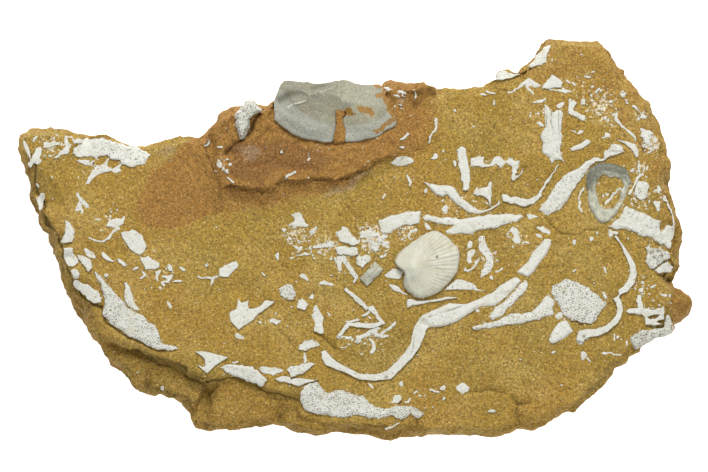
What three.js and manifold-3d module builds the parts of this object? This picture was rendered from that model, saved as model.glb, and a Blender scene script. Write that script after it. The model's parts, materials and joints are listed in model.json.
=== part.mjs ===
// Bryozoan fossil slab: an irregular plate of ochre siltstone, lying face up, whose top face is
// strewn with white bryozoan fragments, a ribbed brachiopod, a large grey brachiopod valve, a
// crinoid ring and a crinoid stem piece. The stone and every larger fossil are separate solids:
// each fossil sits in its own shallow pocket in the stone.
// Units are millimetres, +X right and +Y away across the face, +Z up. The stone rests on z = 0.

import * as THREE from "three";
import Module from "manifold-3d";

const wasm = await Module();
wasm.setup();
const { Manifold, Mesh, CrossSection } = wasm;

// ---------------------------------------------------------------- driving dimensions (mm)

const FACE_HEIGHT = 18; // main face above the resting plane
const LEDGE_RISE = 2.2; // upper layer along the top edge, above the main face
const WEST_SHELF_DROP = 3.2; // lower layer at the lower left
const SOUTH_SHELF_DROP = 1.6; // lower layer along the bottom edge
const EAST_KNOB_DROP = 3; // stone that sticks out under the right rim
const STEP_WIDTH = 0.9; // how far a step takes to rise
const RIM_INSET = 1.1; // side face's width seen from above, where the rim isn't broken back
const SIDE_BAND = 4; // height of the steepest band round the side
const GIRTH_WEST = 7; // height of the widest line at the left end
const GIRTH_EAST = 10.5; // and over the rest
const GIRTH_WANDER = 1.6; // how far it rises and falls on its way round
const UNDERSIDE_CURL = 9; // how far in from the outline the underside lifts off the table
const SWELL = 0.45; // gentle unevenness of the face
const ROUGHNESS = 0.35; // roughness of the broken sides

const FOSSIL_DEPTH = 1.1; // how deep a fossil is set in the stone
const CLEARANCE = 0.3; // between a fossil and its pocket, and between two fossils
const RIM_DROOP = 1.8; // how far a fossil that laps over the rim bends down
const DROOP_REACH = 2.6; // over this distance outside the rim

const SLAB_TOLERANCE = 0.16; // outlines are thinned to this much
const FOSSIL_TOLERANCE = 0.13;
const FACE_GRID = 4.6; // spacing of the points that shape the face
const SIDE_GRID = 2;
const STEP_GRID = 2.2;
const BASE_GRID = 9;
const CURL_GRID = 6; // spacing along the rings that shape the underside's curl
const CURL_SPACING = 3.4; // no two of their points lie nearer than this
const CURL_RINGS = [0.3, 0.65, 1]; // where the rings lie, as parts of UNDERSIDE_CURL
const SIDE_MARGIN = 0.8; // between the side's points and the outline
const FACE_MARGIN = 0.5; // and between them and the face
const STONE_BOUNDS = { min: [-62, -38], max: [62, 38] }; // a little more than the stone's plan

const CROWN_RING = 0.55; // where the points that round a fossil's edge lie, as a part of its crown
const CROWN_RING_GRID = 2.2;
const EDGE_RISE = 0.35; // a rounded fossil's height at its very edge, as a part of its rise
const RAY_MARGIN = 0.35; // how far short of the shell's margin a rib's points stop
const RAY_STEP = 0.1; // of the search for the margin along a rib
const RAY_START = 1.2; // the search begins here, past the notch at the beak

// ---------------------------------------------------------------- colours

const OCHRE = { color: "#ac8c48", roughness: 0.95, metalness: 0 };
const WHITE = { color: "#e4e3da", roughness: 0.85, metalness: 0 };
const CREAM = { color: "#d7d4cb", roughness: 0.7, metalness: 0 };
const GREY = { color: "#a5a59b", roughness: 0.7, metalness: 0 };
const DARK_GREY = { color: "#84887e", roughness: 0.75, metalness: 0 };

// ---------------------------------------------------------------- the stone's plan, x then y

const SLAB_OUTLINE = [
  -60.05, 17.2, -59.9, 18, -59.3, 18.7, -58.1, 19.5, -55, 19.7, -50, 19.1, -46.8, 18.5, -45, 18.5,
  -42.3, 17.4, -40, 16.65, -37, 16.8, -35, 16.9, -31.2, 18.1, -29.8, 18.3, -28.9, 18.25, -28, 17.4,
  -26.9, 18.1, -26, 19, -25.1, 20.2, -24.4, 20.9, -24, 21.9, -23.5, 22.4, -21.8, 23.2, -20, 23.6,
  -18.2, 23.8, -16.3, 23.4, -15.3, 23.65, -14.1, 23.9, -13.7, 25.6, -12.7, 27.1, -12, 27.4,
  -8.3, 27.2, -5, 27, -2.5, 27.6, -0.8, 27.3, 1, 26.7, 4.6, 26.8, 6.2, 27.75, 7.8, 27.95, 9, 27.5,
  9.9, 27.6, 13, 27.35, 14.7, 26.7, 17.2, 26.4, 19.5, 26.3, 22.5, 26.7, 23.5, 27.1, 24.6, 27.9,
  25.6, 28.8, 27.4, 28.9, 29.2, 29, 30.8, 30.6, 31.4, 31.5, 32.8, 33, 33.4, 33.8, 34.5, 35.3,
  35.6, 35.9, 39, 35.5, 40, 35.2, 41.6, 35.2, 42.8, 34.5, 43.4, 33.6, 45, 32.3, 45.9, 31,
  47.2, 29.3, 48.4, 27.4, 49.7, 25.9, 50.8, 25, 52, 24.2, 52.35, 23.2, 52.5, 21.7, 53.4, 19.9,
  54.2, 18.6, 54.9, 17.7, 55.3, 15.1, 55.9, 13.6, 55.9, 12.4, 55.4, 11.2, 55.2, 10, 56, 8.2,
  57.1, 5, 57.9, 2.9, 58.2, 1.3, 57.8, -1, 58.2, -3.6, 57.8, -5.4, 56.9, -7, 56.6, -8, 57.2, -8.9,
  59.1, -9.7, 59.7, -10.3, 60.05, -11.2, 59.6, -12.5, 58.95, -13.8, 58, -14.7, 56.9, -15.3,
  56.4, -16.2, 55.4, -16.9, 53.5, -17.6, 51.9, -18.1, 49.9, -19.6, 48, -21.9, 46.2, -22.9,
  45.3, -24.9, 44.2, -26.2, 41.2, -28.8, 39.2, -30.4, 37, -31.3, 33.2, -32.5, 32, -33,
  29.6, -33.3, 27, -34.3, 24.9, -34.95, 20.8, -34.65, 17.4, -34.7, 13.6, -35.15, 11, -34.6,
  8, -35.2, 6.2, -35.9, 4.2, -35.1, 2, -34.5, -4, -34.8, -6.2, -35.4, -8.2, -35.2, -10.9, -34.1,
  -13.2, -33.4, -16.3, -33.2, -20.5, -34, -24.5, -34.1, -26.6, -33.8, -28.5, -32.1, -30.8, -29,
  -34.8, -27.6, -37.8, -27.7, -39.3, -26.7, -40.3, -24.5, -41, -23.8, -43.8, -22.3, -45, -20,
  -46.1, -18, -47.6, -16, -48.3, -14.8, -49.8, -13, -51.1, -10, -52.8, -4, -54.1, -1, -56.6, 4,
  -57.9, 8, -58.6, 12.2, -59.2, 14.5, -60, 16.3,
];

// The left side is broken back: the face keeps to the right of this line.
const BROKEN_WEST_RIM = [
  -58.4, 17.2, -57.4, 15, -56.5, 13, -56.8, 10, -56.3, 8, -54.8, 4, -53.5, 2, -52.5, 0, -51.8, -2,
  -51.7, -4, -50.5, -6, -50.3, -8, -49, -9.5, -47, -11.5, -46, -14, -46.4, -17, -48, -40, 70, -40,
  70, 40, -70, 40, -70, 18.5, -60, 18.5,
];
const BROKEN_RIM_POINTS = 16; // those of its points that lie on the stone

const LEDGE = [
  -27.4, 19, -26.7, 15, -25.5, 12, -24, 7.6, -22.5, 9.1, -17, 8.3, -15, 8.5, -12.3, 10.5,
  -3, 10.1, 0.5, 11.6, 5.5, 14.5, 10.3, 15, 13.4, 16, 14.6, 19, 14.8, 21.5, 15.4, 30, -30, 30,
];
const WEST_SHELF = [
  -50, -17, -46, -17.2, -43, -18, -40.4, -19.2, -36.8, -20.7, -33, -22, -30.4, -22.9, -29, -24.4,
  -26.3, -25.4, -25.2, -28, -26.4, -33, -30, -38, -52, -34,
];
const SOUTH_SHELF = [
  -26.3, -25.4, -24, -25.3, -21, -24.8, -17.5, -26.1, -16, -27, -13, -27.7, -10, -28.8,
  -9.8, -31.5, -4, -33, 5, -33.4, 11, -33.6, 11.4, -39, -32, -39,
];
const EAST_KNOB = [56.4, -8, 56.3, -12, 56.7, -16, 63, -16, 63, -8];

// Swellings and hollows of the face: x, y, radius, height.
const SWELLINGS = [
  [-23, 20.2, 3, 1.3],
  [-16.2, 20.6, 3, 1.2],
  [27.8, 26.6, 3.4, 0.7],
  [-36, 20, 7, -0.6],
  [10.7, 23.8, 2.4, -1.3],
  [-22.7, 15.4, 1.6, -0.7],
  [-36.7, -26, 2.8, -1],
  [-13.2, -31.6, 2.8, -0.9],
  [28.8, -29.4, 2.4, -0.9],
  [-6.4, -18, 2.2, -0.5],
  [-12.4, -5.6, 5, -0.4],
  [41, -24, 9, -0.8],
];

// ---------------------------------------------------------------- the fossils
// An outline is x, y around the piece; a ribbon is x, y, width along its middle line. "rise" is how
// far the piece stands above the stone beside it and "crown" how far in from its edge it rises.

const FAN_SHELL = {
  name: "ribbed_brachiopod",
  skin: CREAM,
  beak: [8.6, -5.2],
  ribs: 17,
  firstRib: -1.25, // its angle about the beak, in radians from +X
  ribSpread: 2.35, // angle from the first rib to the last
  ribDepth: 0.16,
  rings: 5,
  rise: 2.1,
  crown: 4.6,
  outline: [
    7.1, -3.9, 7.9, -2.5, 9.4, -1.5, 11, -0.1, 12, 0.5, 13.2, 1.2, 13.9, 1.4, 14.8, 1.3, 15.7, 0.9,
    16.5, 0.3, 17.6, -1, 18.3, -1.4, 18.6, -2.2, 18.7, -3.4, 18.3, -5.8, 17.2, -7.4, 15.8, -8.9,
    15.1, -9.5, 14, -10, 13, -10.4, 11.8, -10.6, 10.8, -10.4, 9.3, -9.3, 8.7, -8.6, 8.6, -7.8,
    8.9, -6, 8, -5.4, 7.4, -4.9, 7.1, -4.4,
  ],
};

const GREY_SHELL = {
  name: "grey_brachiopod_valve",
  skin: GREY,
  rise: 1.5,
  crown: 3.4,
  grid: 3.6,
  outline: [
    -14.2, 20.9, -14.3, 22, -14.2, 23.2, -14.3, 24.2, -13.7, 26.2, -13.3, 27.2, -12.6, 27.9,
    -12, 28.1, -9, 27.7, -8.3, 27.85, -7.4, 27.5, -5, 27.6, -2.9, 28.15, -1.8, 28.25, -0.9, 28,
    0.9, 27.3, 4.6, 27.3, 5.4, 25.7, 6.2, 24.2, 7.2, 21.6, 7.5, 20.8, 7.4, 20, 6, 19.3, 5.2, 18.9,
    4.6, 18.3, 3.6, 17.9, 0.4, 17.2, -1.7, 17.1, -1.9, 18, -1.8, 19.3, -2.4, 20.9, -2.2, 21.4,
    -1.6, 21.7, -1.5, 22.4, -3, 22.6, -3.1, 19.6, -3.9, 17.1, -6, 17.1, -9, 17.7, -11.4, 18.7,
    -13, 20,
  ],
};

const CRINOID_RING = {
  name: "crinoid_ring",
  skin: DARK_GREY,
  rise: 0.7,
  crown: 0.9,
  outline: [
    41.1, 9.5, 41.2, 11.1, 41.8, 12.4, 42.9, 13.3, 44.5, 13.5, 46.3, 13.2, 48.4, 12.3, 49, 11,
    49.2, 10.3, 49.1, 9.5, 48.4, 8.2, 47.9, 6.7, 46.7, 4.6, 45.1, 2.9, 43.9, 2.7, 42.8, 3.5,
    41.7, 5.6, 41.3, 8,
  ],
  hole: [
    43, 10.2, 43.8, 11.1, 44.4, 11.3, 45.4, 10.7, 46, 11, 47.3, 10.6, 47.8, 9.4, 47.2, 8.5,
    47.1, 7.1, 46, 5.4, 44.6, 5.2, 43.6, 5.8, 43.3, 7.3, 42.7, 9.3,
  ],
};

const CRINOID_STEM = {
  name: "crinoid_stem_piece",
  skin: GREY,
  rise: 0.9,
  crown: 1,
  outline: [0.9, -7.1, 2.3, -5.5, 3.6, -4.1, 5.2, -5.5, 3.7, -7.1, 2.2, -8.6],
};

const BRYOZOANS = [
  {
    name: "long_bryozoan_leaf",
    rise: 0.8,
    crown: 0.9,
    outline: [
      32.5, 5.15, 33, 5.5, 33.2, 6, 34.1, 6.9, 35.1, 8.3, 35.9, 9.5, 37.4, 11.2, 38, 11.7, 39.4, 12.3,
      40, 12.7, 41, 13.6, 42.7, 14.4, 43.3, 14.3, 43.3, 13.8, 42.1, 12.6, 40.8, 11.1, 38.9, 9,
      38.1, 7.5, 37.8, 6.7, 36.3, 4.95, 35, 4.6, 34.5, 3.8, 33.5, 4.7,
    ],
  },
  {
    name: "bryozoan_leaf_head",
    rise: 0.7,
    crown: 0.6,
    outline: [
      43.7, 14.1, 44.1, 14.3, 44.4, 14.9, 44.6, 15.6, 45.5, 16.5, 46.2, 16.75, 47.3, 16.4, 47.8, 15.6,
      47.6, 15.3, 46.2, 14.8, 44.8, 14, 44.1, 13.8, 43.7, 13.8,
    ],
  },
  {
    name: "tall_bryozoan_frond",
    rise: 0.9,
    crown: 0.9,
    outline: [
      33.6, 23.8, 34.5, 23.2, 35.3, 22.3, 35.8, 22.9, 36.5, 23, 36.9, 22.6, 36.9, 20, 36.8, 17.6,
      36.4, 15.6, 36.8, 14.8, 37.4, 13.5, 36.6, 14, 35.6, 14, 34.9, 13.2, 34.7, 14.3, 33.5, 15.2,
      33.2, 16.9, 33, 18.3, 33.9, 19.6, 33.9, 21,
    ],
  },
  {
    name: "oval_bryozoan_colony",
    rise: 0.8,
    crown: 1.4,
    grid: 3.4,
    outline: [
      35, -8.5, 35.5, -8.1, 37.3, -7.3, 38, -7.3, 40.1, -8, 41.9, -8.9, 42.4, -9.7, 43.4, -10.3,
      44.6, -11.4, 44.7, -11.9, 43.4, -13.2, 42.9, -14.4, 41.9, -15.1, 40.2, -14.9, 38.8, -14.7,
      37, -13.8, 36.6, -12.3, 35.5, -10.8, 34.9, -9.7,
    ],
  },
  {
    name: "white_bryozoan_block",
    rise: 0.9,
    crown: 0.8,
    outline: [
      45, 1.9, 45.7, 2.9, 47, 3.7, 47.8, 5.5, 48.2, 5.8, 50.4, 4.9, 54.2, 3.3, 54.2, 1.4, 54.7, 1.3,
      55.1, 2, 55.5, 2.4, 56.7, 2.3, 56.9, 1.9, 56.5, -0.3, 56.2, -1.6, 55.7, -1.7, 54, -0.7,
      52.8, 0, 50.5, 0.4, 50.2, 0.9, 48.4, 1.5, 46.8, 1.7,
    ],
  },
  {
    name: "lower_right_bryozoan",
    rise: 0.8,
    crown: 0.8,
    outline: [
      48.9, -18, 48.9, -17.5, 49.7, -16.9, 51.3, -16.2, 55, -16, 55.2, -14.9, 55.5, -13.6,
      55.9, -13.4, 56.3, -15, 56.8, -16, 56.2, -16.9, 54.8, -17.5, 53.5, -18, 51.8, -18.5,
      50.4, -19.5, 49.9, -19.8, 49.4, -18.8,
    ],
  },
  {
    name: "bottom_bryozoan_branch",
    rise: 0.9,
    crown: 1,
    outline: [
      -9.7, -27.5, -8.8, -26.2, -8.2, -25.7, -6.6, -25.4, -5.2, -27.2, -4.6, -27.5, -3.2, -26.95,
      -2.2, -27, 0.3, -27.9, 1.3, -27.9, 3.7, -30, 6, -30.1, 8, -29.6, 10, -29.8, 12, -30.7,
      12.4, -31, 12, -31.6, 11.4, -32, 9.9, -31.2, 8.3, -32.4, 6.6, -31.4, 4.8, -31.9, 2.4, -32,
      0.8, -31.3, -1.6, -31.8, -6.8, -31.2, -8.9, -30.4, -9.7, -28.6,
    ],
  },
  {
    name: "west_bryozoan_leaf",
    rise: 0.8,
    crown: 0.9,
    outline: [
      -46.3, -5.7, -45.1, -6.5, -43, -9.1, -40.8, -11.3, -40.4, -12.2, -37.6, -13.6, -36.3, -15,
      -35.4, -15.4, -34.3, -18.1, -33.7, -18.7, -31.4, -19.2, -31.2, -19.6, -32.5, -19.8,
      -34.4, -19.9, -36.5, -19.2, -39.3, -17.5, -40.1, -17.3, -42.4, -15.7, -43.9, -14.5,
      -44.8, -13.3, -44.3, -11.5, -45.1, -8.9, -45.2, -8,
    ],
  },
  {
    name: "west_leaf_fork",
    rise: 0.6,
    outline: [
      -41, -7.9, -40.4, -7.9, -39.7, -8.9, -39.4, -10.3, -38.6, -12, -38.2, -12.9, -39.6, -12.5,
      -40.5, -12, -40.6, -10.2,
    ],
  },
  {
    name: "northwest_bryozoan_sheet",
    rise: 0.6,
    crown: 0.7,
    outline: [
      -48.9, 17, -48, 17.8, -44.8, 17.9, -42.5, 17.3, -40.5, 16.55, -38.2, 16.1, -36.3, 15.1,
      -36, 14.8, -37, 14.1, -37.4, 13.3, -39.6, 12.6, -41.4, 13.2, -41.8, 13.8, -43.4, 14.2,
      -43.7, 14.9, -46, 14.1, -46.4, 14.5, -49, 14.4, -50.2, 15, -50, 15.8,
    ],
  },
  {
    name: "bryozoan_stub",
    rise: 2.2,
    crown: 0.9,
    depth: 1.6,
    outline: [
      -20, 23.6, -19.2, 24.4, -18.6, 24.7, -18, 24.75, -17.2, 24.1, -16.4, 22.7, -17.5, 22,
      -18.5, 21.3, -18.6, 19.7, -19.5, 17.8, -20, 17.5, -20.5, 17.7, -21, 19.8, -21, 22.4,
    ],
  },
  {
    name: "sinuous_blade_lower",
    rise: 0.7,
    ribbon: [
      -5.5, -19.9, 0.8, -5.2, -20.9, 1.5, -4.5, -21.9, 1.7, -3.3, -22.6, 1.3, -1.8, -23.2, 1,
      0.9, -24.5, 1, 3.8, -24.7, 1.1, 6.1, -24.2, 1.6, 6.9, -23.4, 1.5, 9.1, -21.3, 1.6,
      10.8, -18.9, 1.7, 11.5, -16.4, 2.2, 11.9, -15.5, 2.2,
    ],
  },
  {
    name: "sinuous_blade_upper",
    rise: 0.8,
    crown: 0.8,
    outline: [
      11.1, -14.7, 12, -13.6, 14, -12.7, 16.9, -11.5, 19.9, -11.7, 22.6, -10.6, 24.7, -9.5,
      25.8, -8.4, 28.6, -6.8, 29.2, -7.1, 29.6, -7.6, 27.6, -9.7, 25, -11.9, 22.6, -12, 21, -12.8,
      18, -14.8, 15.4, -15.6, 13.2, -15.8, 12.9, -15,
    ],
  },
  {
    name: "tapered_blade",
    rise: 0.7,
    crown: 0.7,
    outline: [
      20.5, -15.7, 23, -14.9, 25, -14.8, 26.2, -14, 28, -13.3, 30, -13.5, 31.5, -12.9, 32.8, -11.6,
      33.9, -10.3, 34.5, -9.9, 35, -10, 35.5, -11.6, 35.3, -12.3, 35.5, -13.3, 33.1, -14.2,
      31.6, -14.8, 28, -15.3, 25, -15.6, 21.2, -16.2,
    ],
  },
  {
    name: "upper_rod",
    rise: 0.8,
    crown: 0.7,
    outline: [
      28.6, -6, 30.1, -4.8, 30.7, -4.2, 31.5, -2.5, 32.8, -1.1, 33.8, 0, 34.9, 0, 35, -0.9,
      34.2, -2.7, 33, -4.4, 31.9, -5.9, 30.8, -6.85,
    ],
  },
  {
    name: "lower_rod",
    rise: 0.8,
    crown: 0.7,
    outline: [
      30, -7.3, 30.8, -7.6, 31, -8.1, 30.4, -9.3, 28.8, -11.2, 28.2, -11.5, 25.9, -13.9, 24.8, -14.5,
      24.3, -14.4, 23.8, -13.9, 25.2, -12, 27, -10.5, 29.7, -7.9,
    ],
  },
  {
    name: "long_bar_right",
    rise: 0.7,
    crown: 0.7,
    outline: [
      12.1, 3.6, 12.6, 4.1, 15.2, 4, 19, 3.6, 23, 4, 26.5, 4.45, 29.5, 4.3, 30, 3.9, 28.8, 3,
      26.5, 2.4, 24, 1.6, 21.2, 1.3, 20.8, 0.5, 20.5, 1, 16.4, 0.7, 15.9, 1, 17.6, 2.3, 15.6, 2.5,
      12.8, 3.1,
    ],
  },
  {
    name: "long_bar_left",
    rise: 0.6,
    crown: 0.6,
    outline: [
      4.1, 3.2, 6.5, 4.1, 10, 4.8, 11.8, 4.9, 11.6, 3.4, 11.7, 2.6, 9, 2.4, 6.3, 1.1, 4.7, 1.1,
    ],
  },
  {
    name: "curved_shell_edge",
    rise: 0.8,
    crown: 0.6,
    outline: [
      12, 10.1, 14.8, 9.5, 17, 9.4, 17.8, 9, 18.8, 7.4, 20.3, 6.2, 22.4, 4.95, 24, 5.3, 25.5, 6.3,
      25.6, 7.2, 26, 6.2, 24.3, 5, 22.2, 4.3, 20.3, 4.5, 18, 6.1, 16.8, 7.2, 16.4, 8, 15.8, 7.3,
      14.4, 7.8, 13.2, 9,
    ],
  },
  {
    name: "long_tailed_ribbon",
    rise: 0.7,
    outline: [
      26.2, 8, 28.8, 7.4, 30.2, 6.9, 31.5, 7.15, 32.6, 8, 33.4, 9.2, 34.3, 10.85, 35.1, 11.6,
      36.1, 13.2, 36.3, 13.1, 35.5, 11.8, 34.5, 10.5, 33.8, 9.2, 33.3, 7.6, 32.1, 6.3, 30, 5.6,
      28.3, 6.1, 26.4, 6.8,
    ],
  },
  {
    name: "straight_stick",
    rise: 0.6,
    outline: [
      18, 15.8, 19.1, 16.45, 19.8, 15.6, 20.1, 13.8, 20.6, 11.4, 20.3, 8.7, 19.9, 8.3, 19.3, 8.5,
      18.7, 11.6,
    ],
  },
  {
    name: "zigzag_bryozoan",
    rise: 0.5,
    outline: [
      20.6, 14, 22, 14.6, 23.1, 14.5, 22.9, 13.4, 23.9, 13.2, 25, 14.4, 25.9, 14.6, 26.9, 13.6,
      27.3, 14.5, 28.1, 14.2, 28.5, 13.6, 29.4, 13.9, 28.6, 11.5, 28.7, 11, 30.2, 12.6, 29.2, 10.8,
      28, 10.3, 27.8, 10.7, 28, 13, 27, 13.5, 26.1, 12.4, 25.2, 13.1, 23.7, 12.8, 20.7, 12.8,
    ],
  },
  {
    name: "forked_chip",
    rise: 0.5,
    outline: [
      20.7, 7.9, 21.6, 8.9, 23.6, 9, 24, 10.1, 24.5, 10.2, 24.4, 7.8, 23.9, 5.8, 23.2, 7.5,
      21.8, 7.4,
    ],
  },
  {
    name: "s_curve_upper",
    rise: 0.8,
    ribbon: [
      46.3, 0.5, 0.5, 47.3, -0.8, 0.4, 48.2, -2.5, 0.7, 48.8, -3.6, 0.85, 49.3, -4.8, 1, 49.5, -6.2, 1.2,
      49.1, -7.6, 1.3, 48.1, -8.9, 1.2, 46.9, -9.6, 0.9,
    ],
  },
  {
    name: "s_curve_lower",
    rise: 0.8,
    ribbon: [
      46.3, -10.4, 1.2, 46.9, -11.4, 1, 47.15, -12.6, 1, 46.8, -13.9, 1, 46, -15, 1, 44.7, -16, 1.1,
      43, -16.7, 1.3, 41.2, -16.8, 1.5, 40.2, -17.3, 1.7, 39.9, -18.2, 1.3,
    ],
  },
  {
    name: "speckled_colony",
    rise: 0.5,
    crown: 0.6,
    outline: [
      51.5, -1.5, 52.5, -0.9, 52.6, -1.7, 54.8, -1.9, 56, -2.5, 56.1, -3.6, 54.8, -4, 53.3, -5.3,
      52.3, -5.2, 51.6, -4, 52, -2.8,
    ],
  },
  {
    name: "white_lobe",
    rise: 0.6,
    outline: [
      53.2, -5.6, 54.4, -4.6, 55.7, -4, 56.5, -4.8, 56.3, -6, 55.7, -6.3, 54.2, -6.1,
    ],
  },
  {
    name: "frame_shaped_twig",
    rise: 0.5,
    outline: [
      48.3, -12.9, 49.2, -12.5, 50.4, -12.4, 50, -11, 50.3, -10, 50.9, -10, 51.2, -11, 51.4, -12.4,
      53.2, -12.5, 54.9, -12, 55.1, -13.2, 55, -14.3, 53.5, -14.8, 54.8, -15.3, 51.7, -15.3,
      51.4, -13.6, 50, -13.5, 48.8, -13.4,
    ],
    hole: [51.9, -13.7, 52.4, -14.4, 53.4, -14.2, 54.2, -13.8, 54.1, -13.4],
  },
  {
    name: "small_smooth_shell",
    rise: 0.9,
    crown: 1,
    outline: [
      36.2, -14.9, 37.6, -14.3, 38.5, -16, 38.8, -16.5, 37.2, -17.7, 35.5, -18.6, 34.9, -18.7,
      34.4, -18, 35.1, -16.3,
    ],
  },
  {
    name: "arched_sliver",
    rise: 0.5,
    outline: [
      46, 17.8, 48.6, 17.2, 49.9, 16.8, 50.5, 15.5, 50.4, 14.5, 50, 14.3, 49.2, 15.7, 47.6, 17,
    ],
  },
  {
    name: "oblique_chip",
    rise: 0.5,
    outline: [38.1, 16, 39.3, 16.7, 41.3, 17.6, 42.2, 17.2, 40, 15.9, 38.7, 15.6],
  },
  {
    name: "porous_chip_east",
    rise: 0.5,
    outline: [
      50.1, 10.1, 51.3, 10.4, 52.3, 9.6, 51.9, 8, 52.1, 7.4, 50.5, 6.8, 49.6, 7.7, 50, 9.5,
    ],
  },
  {
    name: "north_edge_knob",
    rise: 0.8,
    outline: [
      25, 28.1, 25.4, 29.4, 26.9, 29.8, 28.3, 29.2, 29.6, 29.5, 28.2, 28.6, 26.4, 28,
    ],
  },
  {
    name: "peaked_flake",
    rise: 0.5,
    outline: [
      30.9, 30.3, 32.2, 32.4, 33.7, 34, 34.7, 34.5, 34.8, 33.9, 34, 31.2, 31.3, 30.2,
    ],
  },
  {
    name: "crowned_chip",
    rise: 0.5,
    outline: [
      33, 26.6, 34, 27.9, 35.1, 29.2, 36.1, 28.7, 37.1, 27.6, 36.7, 26.8, 35, 26.6,
    ],
  },
  {
    name: "hooked_chip_northeast",
    rise: 0.5,
    outline: [
      38.1, 24.4, 38.8, 24.7, 39.5, 23.9, 38.9, 22.6, 40.9, 22, 41.1, 20.9, 39.2, 21.5, 37.8, 22.1,
    ],
  },
  {
    name: "heart_chip",
    rise: 0.6,
    outline: [
      -3.3, 1.3, -2, 2.1, -1.4, 1.9, 0.5, -0.4, 0.9, -0.9, -0.2, -1.2, -2.8, -0.4,
    ],
  },
  {
    name: "square_chip",
    rise: 0.6,
    outline: [
      -3.2, -1.4, -0.8, -1.4, 0.5, -1.7, 0.8, -2.6, -0.3, -3.1, -2.8, -2.9, -3.5, -1.7,
    ],
  },
  {
    name: "round_speckled_colony",
    rise: 0.5,
    crown: 0.6,
    outline: [
      -13.4, -8.9, -12.1, -8, -11.3, -8.2, -10.3, -9.6, -10.8, -10.9, -11.3, -11.3, -13, -10.4,
    ],
  },
  {
    name: "oval_chip",
    rise: 0.5,
    outline: [-10.2, -11.2, -9.2, -10.4, -8.3, -11.6, -8.9, -12.8, -10.1, -12.5],
  },
  {
    name: "antler_bryozoan",
    rise: 0.6,
    outline: [
      -22.2, -14.3, -22.1, -13.2, -20.9, -12.7, -20.8, -10.7, -20, -11.5, -18.8, -11, -18.8, -12.6,
      -17.2, -12.2, -15.8, -11, -14.2, -11.2, -18, -14.4, -20.6, -16.1,
    ],
  },
  {
    name: "hooked_shell",
    rise: 0.9,
    outline: [
      -28.4, -20, -26.1, -20.1, -22.3, -21.1, -24.3, -22.3, -26.2, -23.9, -28.3, -22.2,
      -26.8, -22.9, -26.4, -22.8, -26.6, -21.3,
    ],
  },
  {
    name: "southwest_branch",
    rise: 0.7,
    crown: 0.7,
    outline: [
      -24, -22.6, -21.2, -22.4, -18.2, -22.8, -16.9, -23.7, -15.3, -25.2, -16.5, -26.4, -17.8, -25.8,
      -21.1, -24.5, -23.1, -23.6,
    ],
  },
  {
    name: "leaf_chip_south",
    rise: 0.6,
    outline: [
      -12, -23.4, -11.5, -22.8, -7.7, -22, -6.9, -22.3, -9.2, -23.9, -11.1, -24.7,
    ],
  },
  {
    name: "flat_chip_south",
    rise: 0.6,
    outline: [
      -14.3, -24.9, -12.9, -24.5, -6.5, -25, -9.4, -26, -10.6, -26.1,
    ],
  },
  {
    name: "tongue_chip_south",
    rise: 0.5,
    outline: [
      -9.9, -19.1, -8.7, -18.1, -6.9, -18, -5.9, -18.9, -8.8, -19.9, -9.8, -19.8,
    ],
  },
  {
    name: "network_branch_north",
    rise: 0.5,
    ribbon: [-1.8, -9, 0.5, 0, -10.4, 0.9, 1.2, -11.5, 0.9, 2.3, -12.4, 0.8],
  },
  {
    name: "network_branch_middle",
    rise: 0.5,
    ribbon: [5.4, -15, 0.6, 3, -15.5, 0.7, 0.3, -15.2, 0.6, -1, -15.2, 0.8, -2.8, -17.3, 0.6],
  },
  {
    name: "lens_leaf_west",
    rise: 0.5,
    outline: [
      -41.5, 1, -39.5, 1.4, -37.6, 0.5, -36.8, -1.7, -37.5, -2.6, -38.4, -2.8, -39.9, -2, -41.2, 0,
    ],
  },
  {
    name: "notched_chip_west",
    rise: 0.5,
    outline: [
      -38.3, -3.3, -36.5, -3.1, -34.7, -4.3, -34.6, -5.3, -37.2, -5.6,
    ],
  },
  {
    name: "leaf_chip_centre_west",
    rise: 0.5,
    outline: [-24, -6.9, -24, -5.2, -20.9, -3.9, -20.6, -4.9, -22.5, -6.8],
  },
  {
    name: "ridge_chip_west",
    rise: 0.6,
    outline: [
      -51.3, 3.3, -50.4, 2.9, -49.7, 0.8, -50.1, -0.7, -52.3, -0.8, -51.4, 1.1,
    ],
  },
  {
    name: "rim_chip_west",
    rise: 0.6,
    outline: [
      -50, -7.7, -48.9, -7.5, -45.1, -9.7, -44.9, -11.5, -46.4, -11.6, -48.7, -9.4, -49.9, -8.6,
    ],
  },
  {
    name: "oval_chip_west",
    rise: 0.5,
    outline: [
      -49.4, -3, -48.3, -3, -46.8, -4, -46.4, -5.4, -47.4, -5.9, -48.2, -4.6,
    ],
  },
  {
    name: "crescent_under_ribbed_shell",
    rise: 0.5,
    outline: [
      9.2, -10.8, 10, -10.7, 11, -11, 13.2, -11, 16.2, -10.4, 19.2, -10.4, 16.2, -10.9, 13.3, -11.3,
      10.4, -11.9, 9.3, -12.4,
    ],
  },
];

// ---------------------------------------------------------------- plane geometry

function pairs(flat) {
  return Array.from({ length: flat.length / 2 }, (_, i) => [flat[2 * i], flat[2 * i + 1]]);
}

function sectionOf(outline, hole, tolerance) {
  const loops = hole ? [pairs(outline), pairs(hole)] : [pairs(outline)];
  return new CrossSection(loops, "EvenOdd").simplify(tolerance);
}

// The outline of a strip given by the x, y and width of its middle line.
function stripOutline(ribbon) {
  const stations = Array.from({ length: ribbon.length / 3 }, (_, i) => ribbon.slice(3 * i, 3 * i + 3));
  const left = [];
  const right = [];
  stations.forEach(([x, y, width], i) => {
    const [x0, y0] = stations[Math.max(i - 1, 0)];
    const [x1, y1] = stations[Math.min(i + 1, stations.length - 1)];
    const half = width / 2 / Math.hypot(x1 - x0, y1 - y0);
    const [across, along] = [-(y1 - y0) * half, (x1 - x0) * half];
    left.push(x + across, y + along);
    right.unshift(x - across, y - along);
  });
  return [...left, ...right];
}

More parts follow.
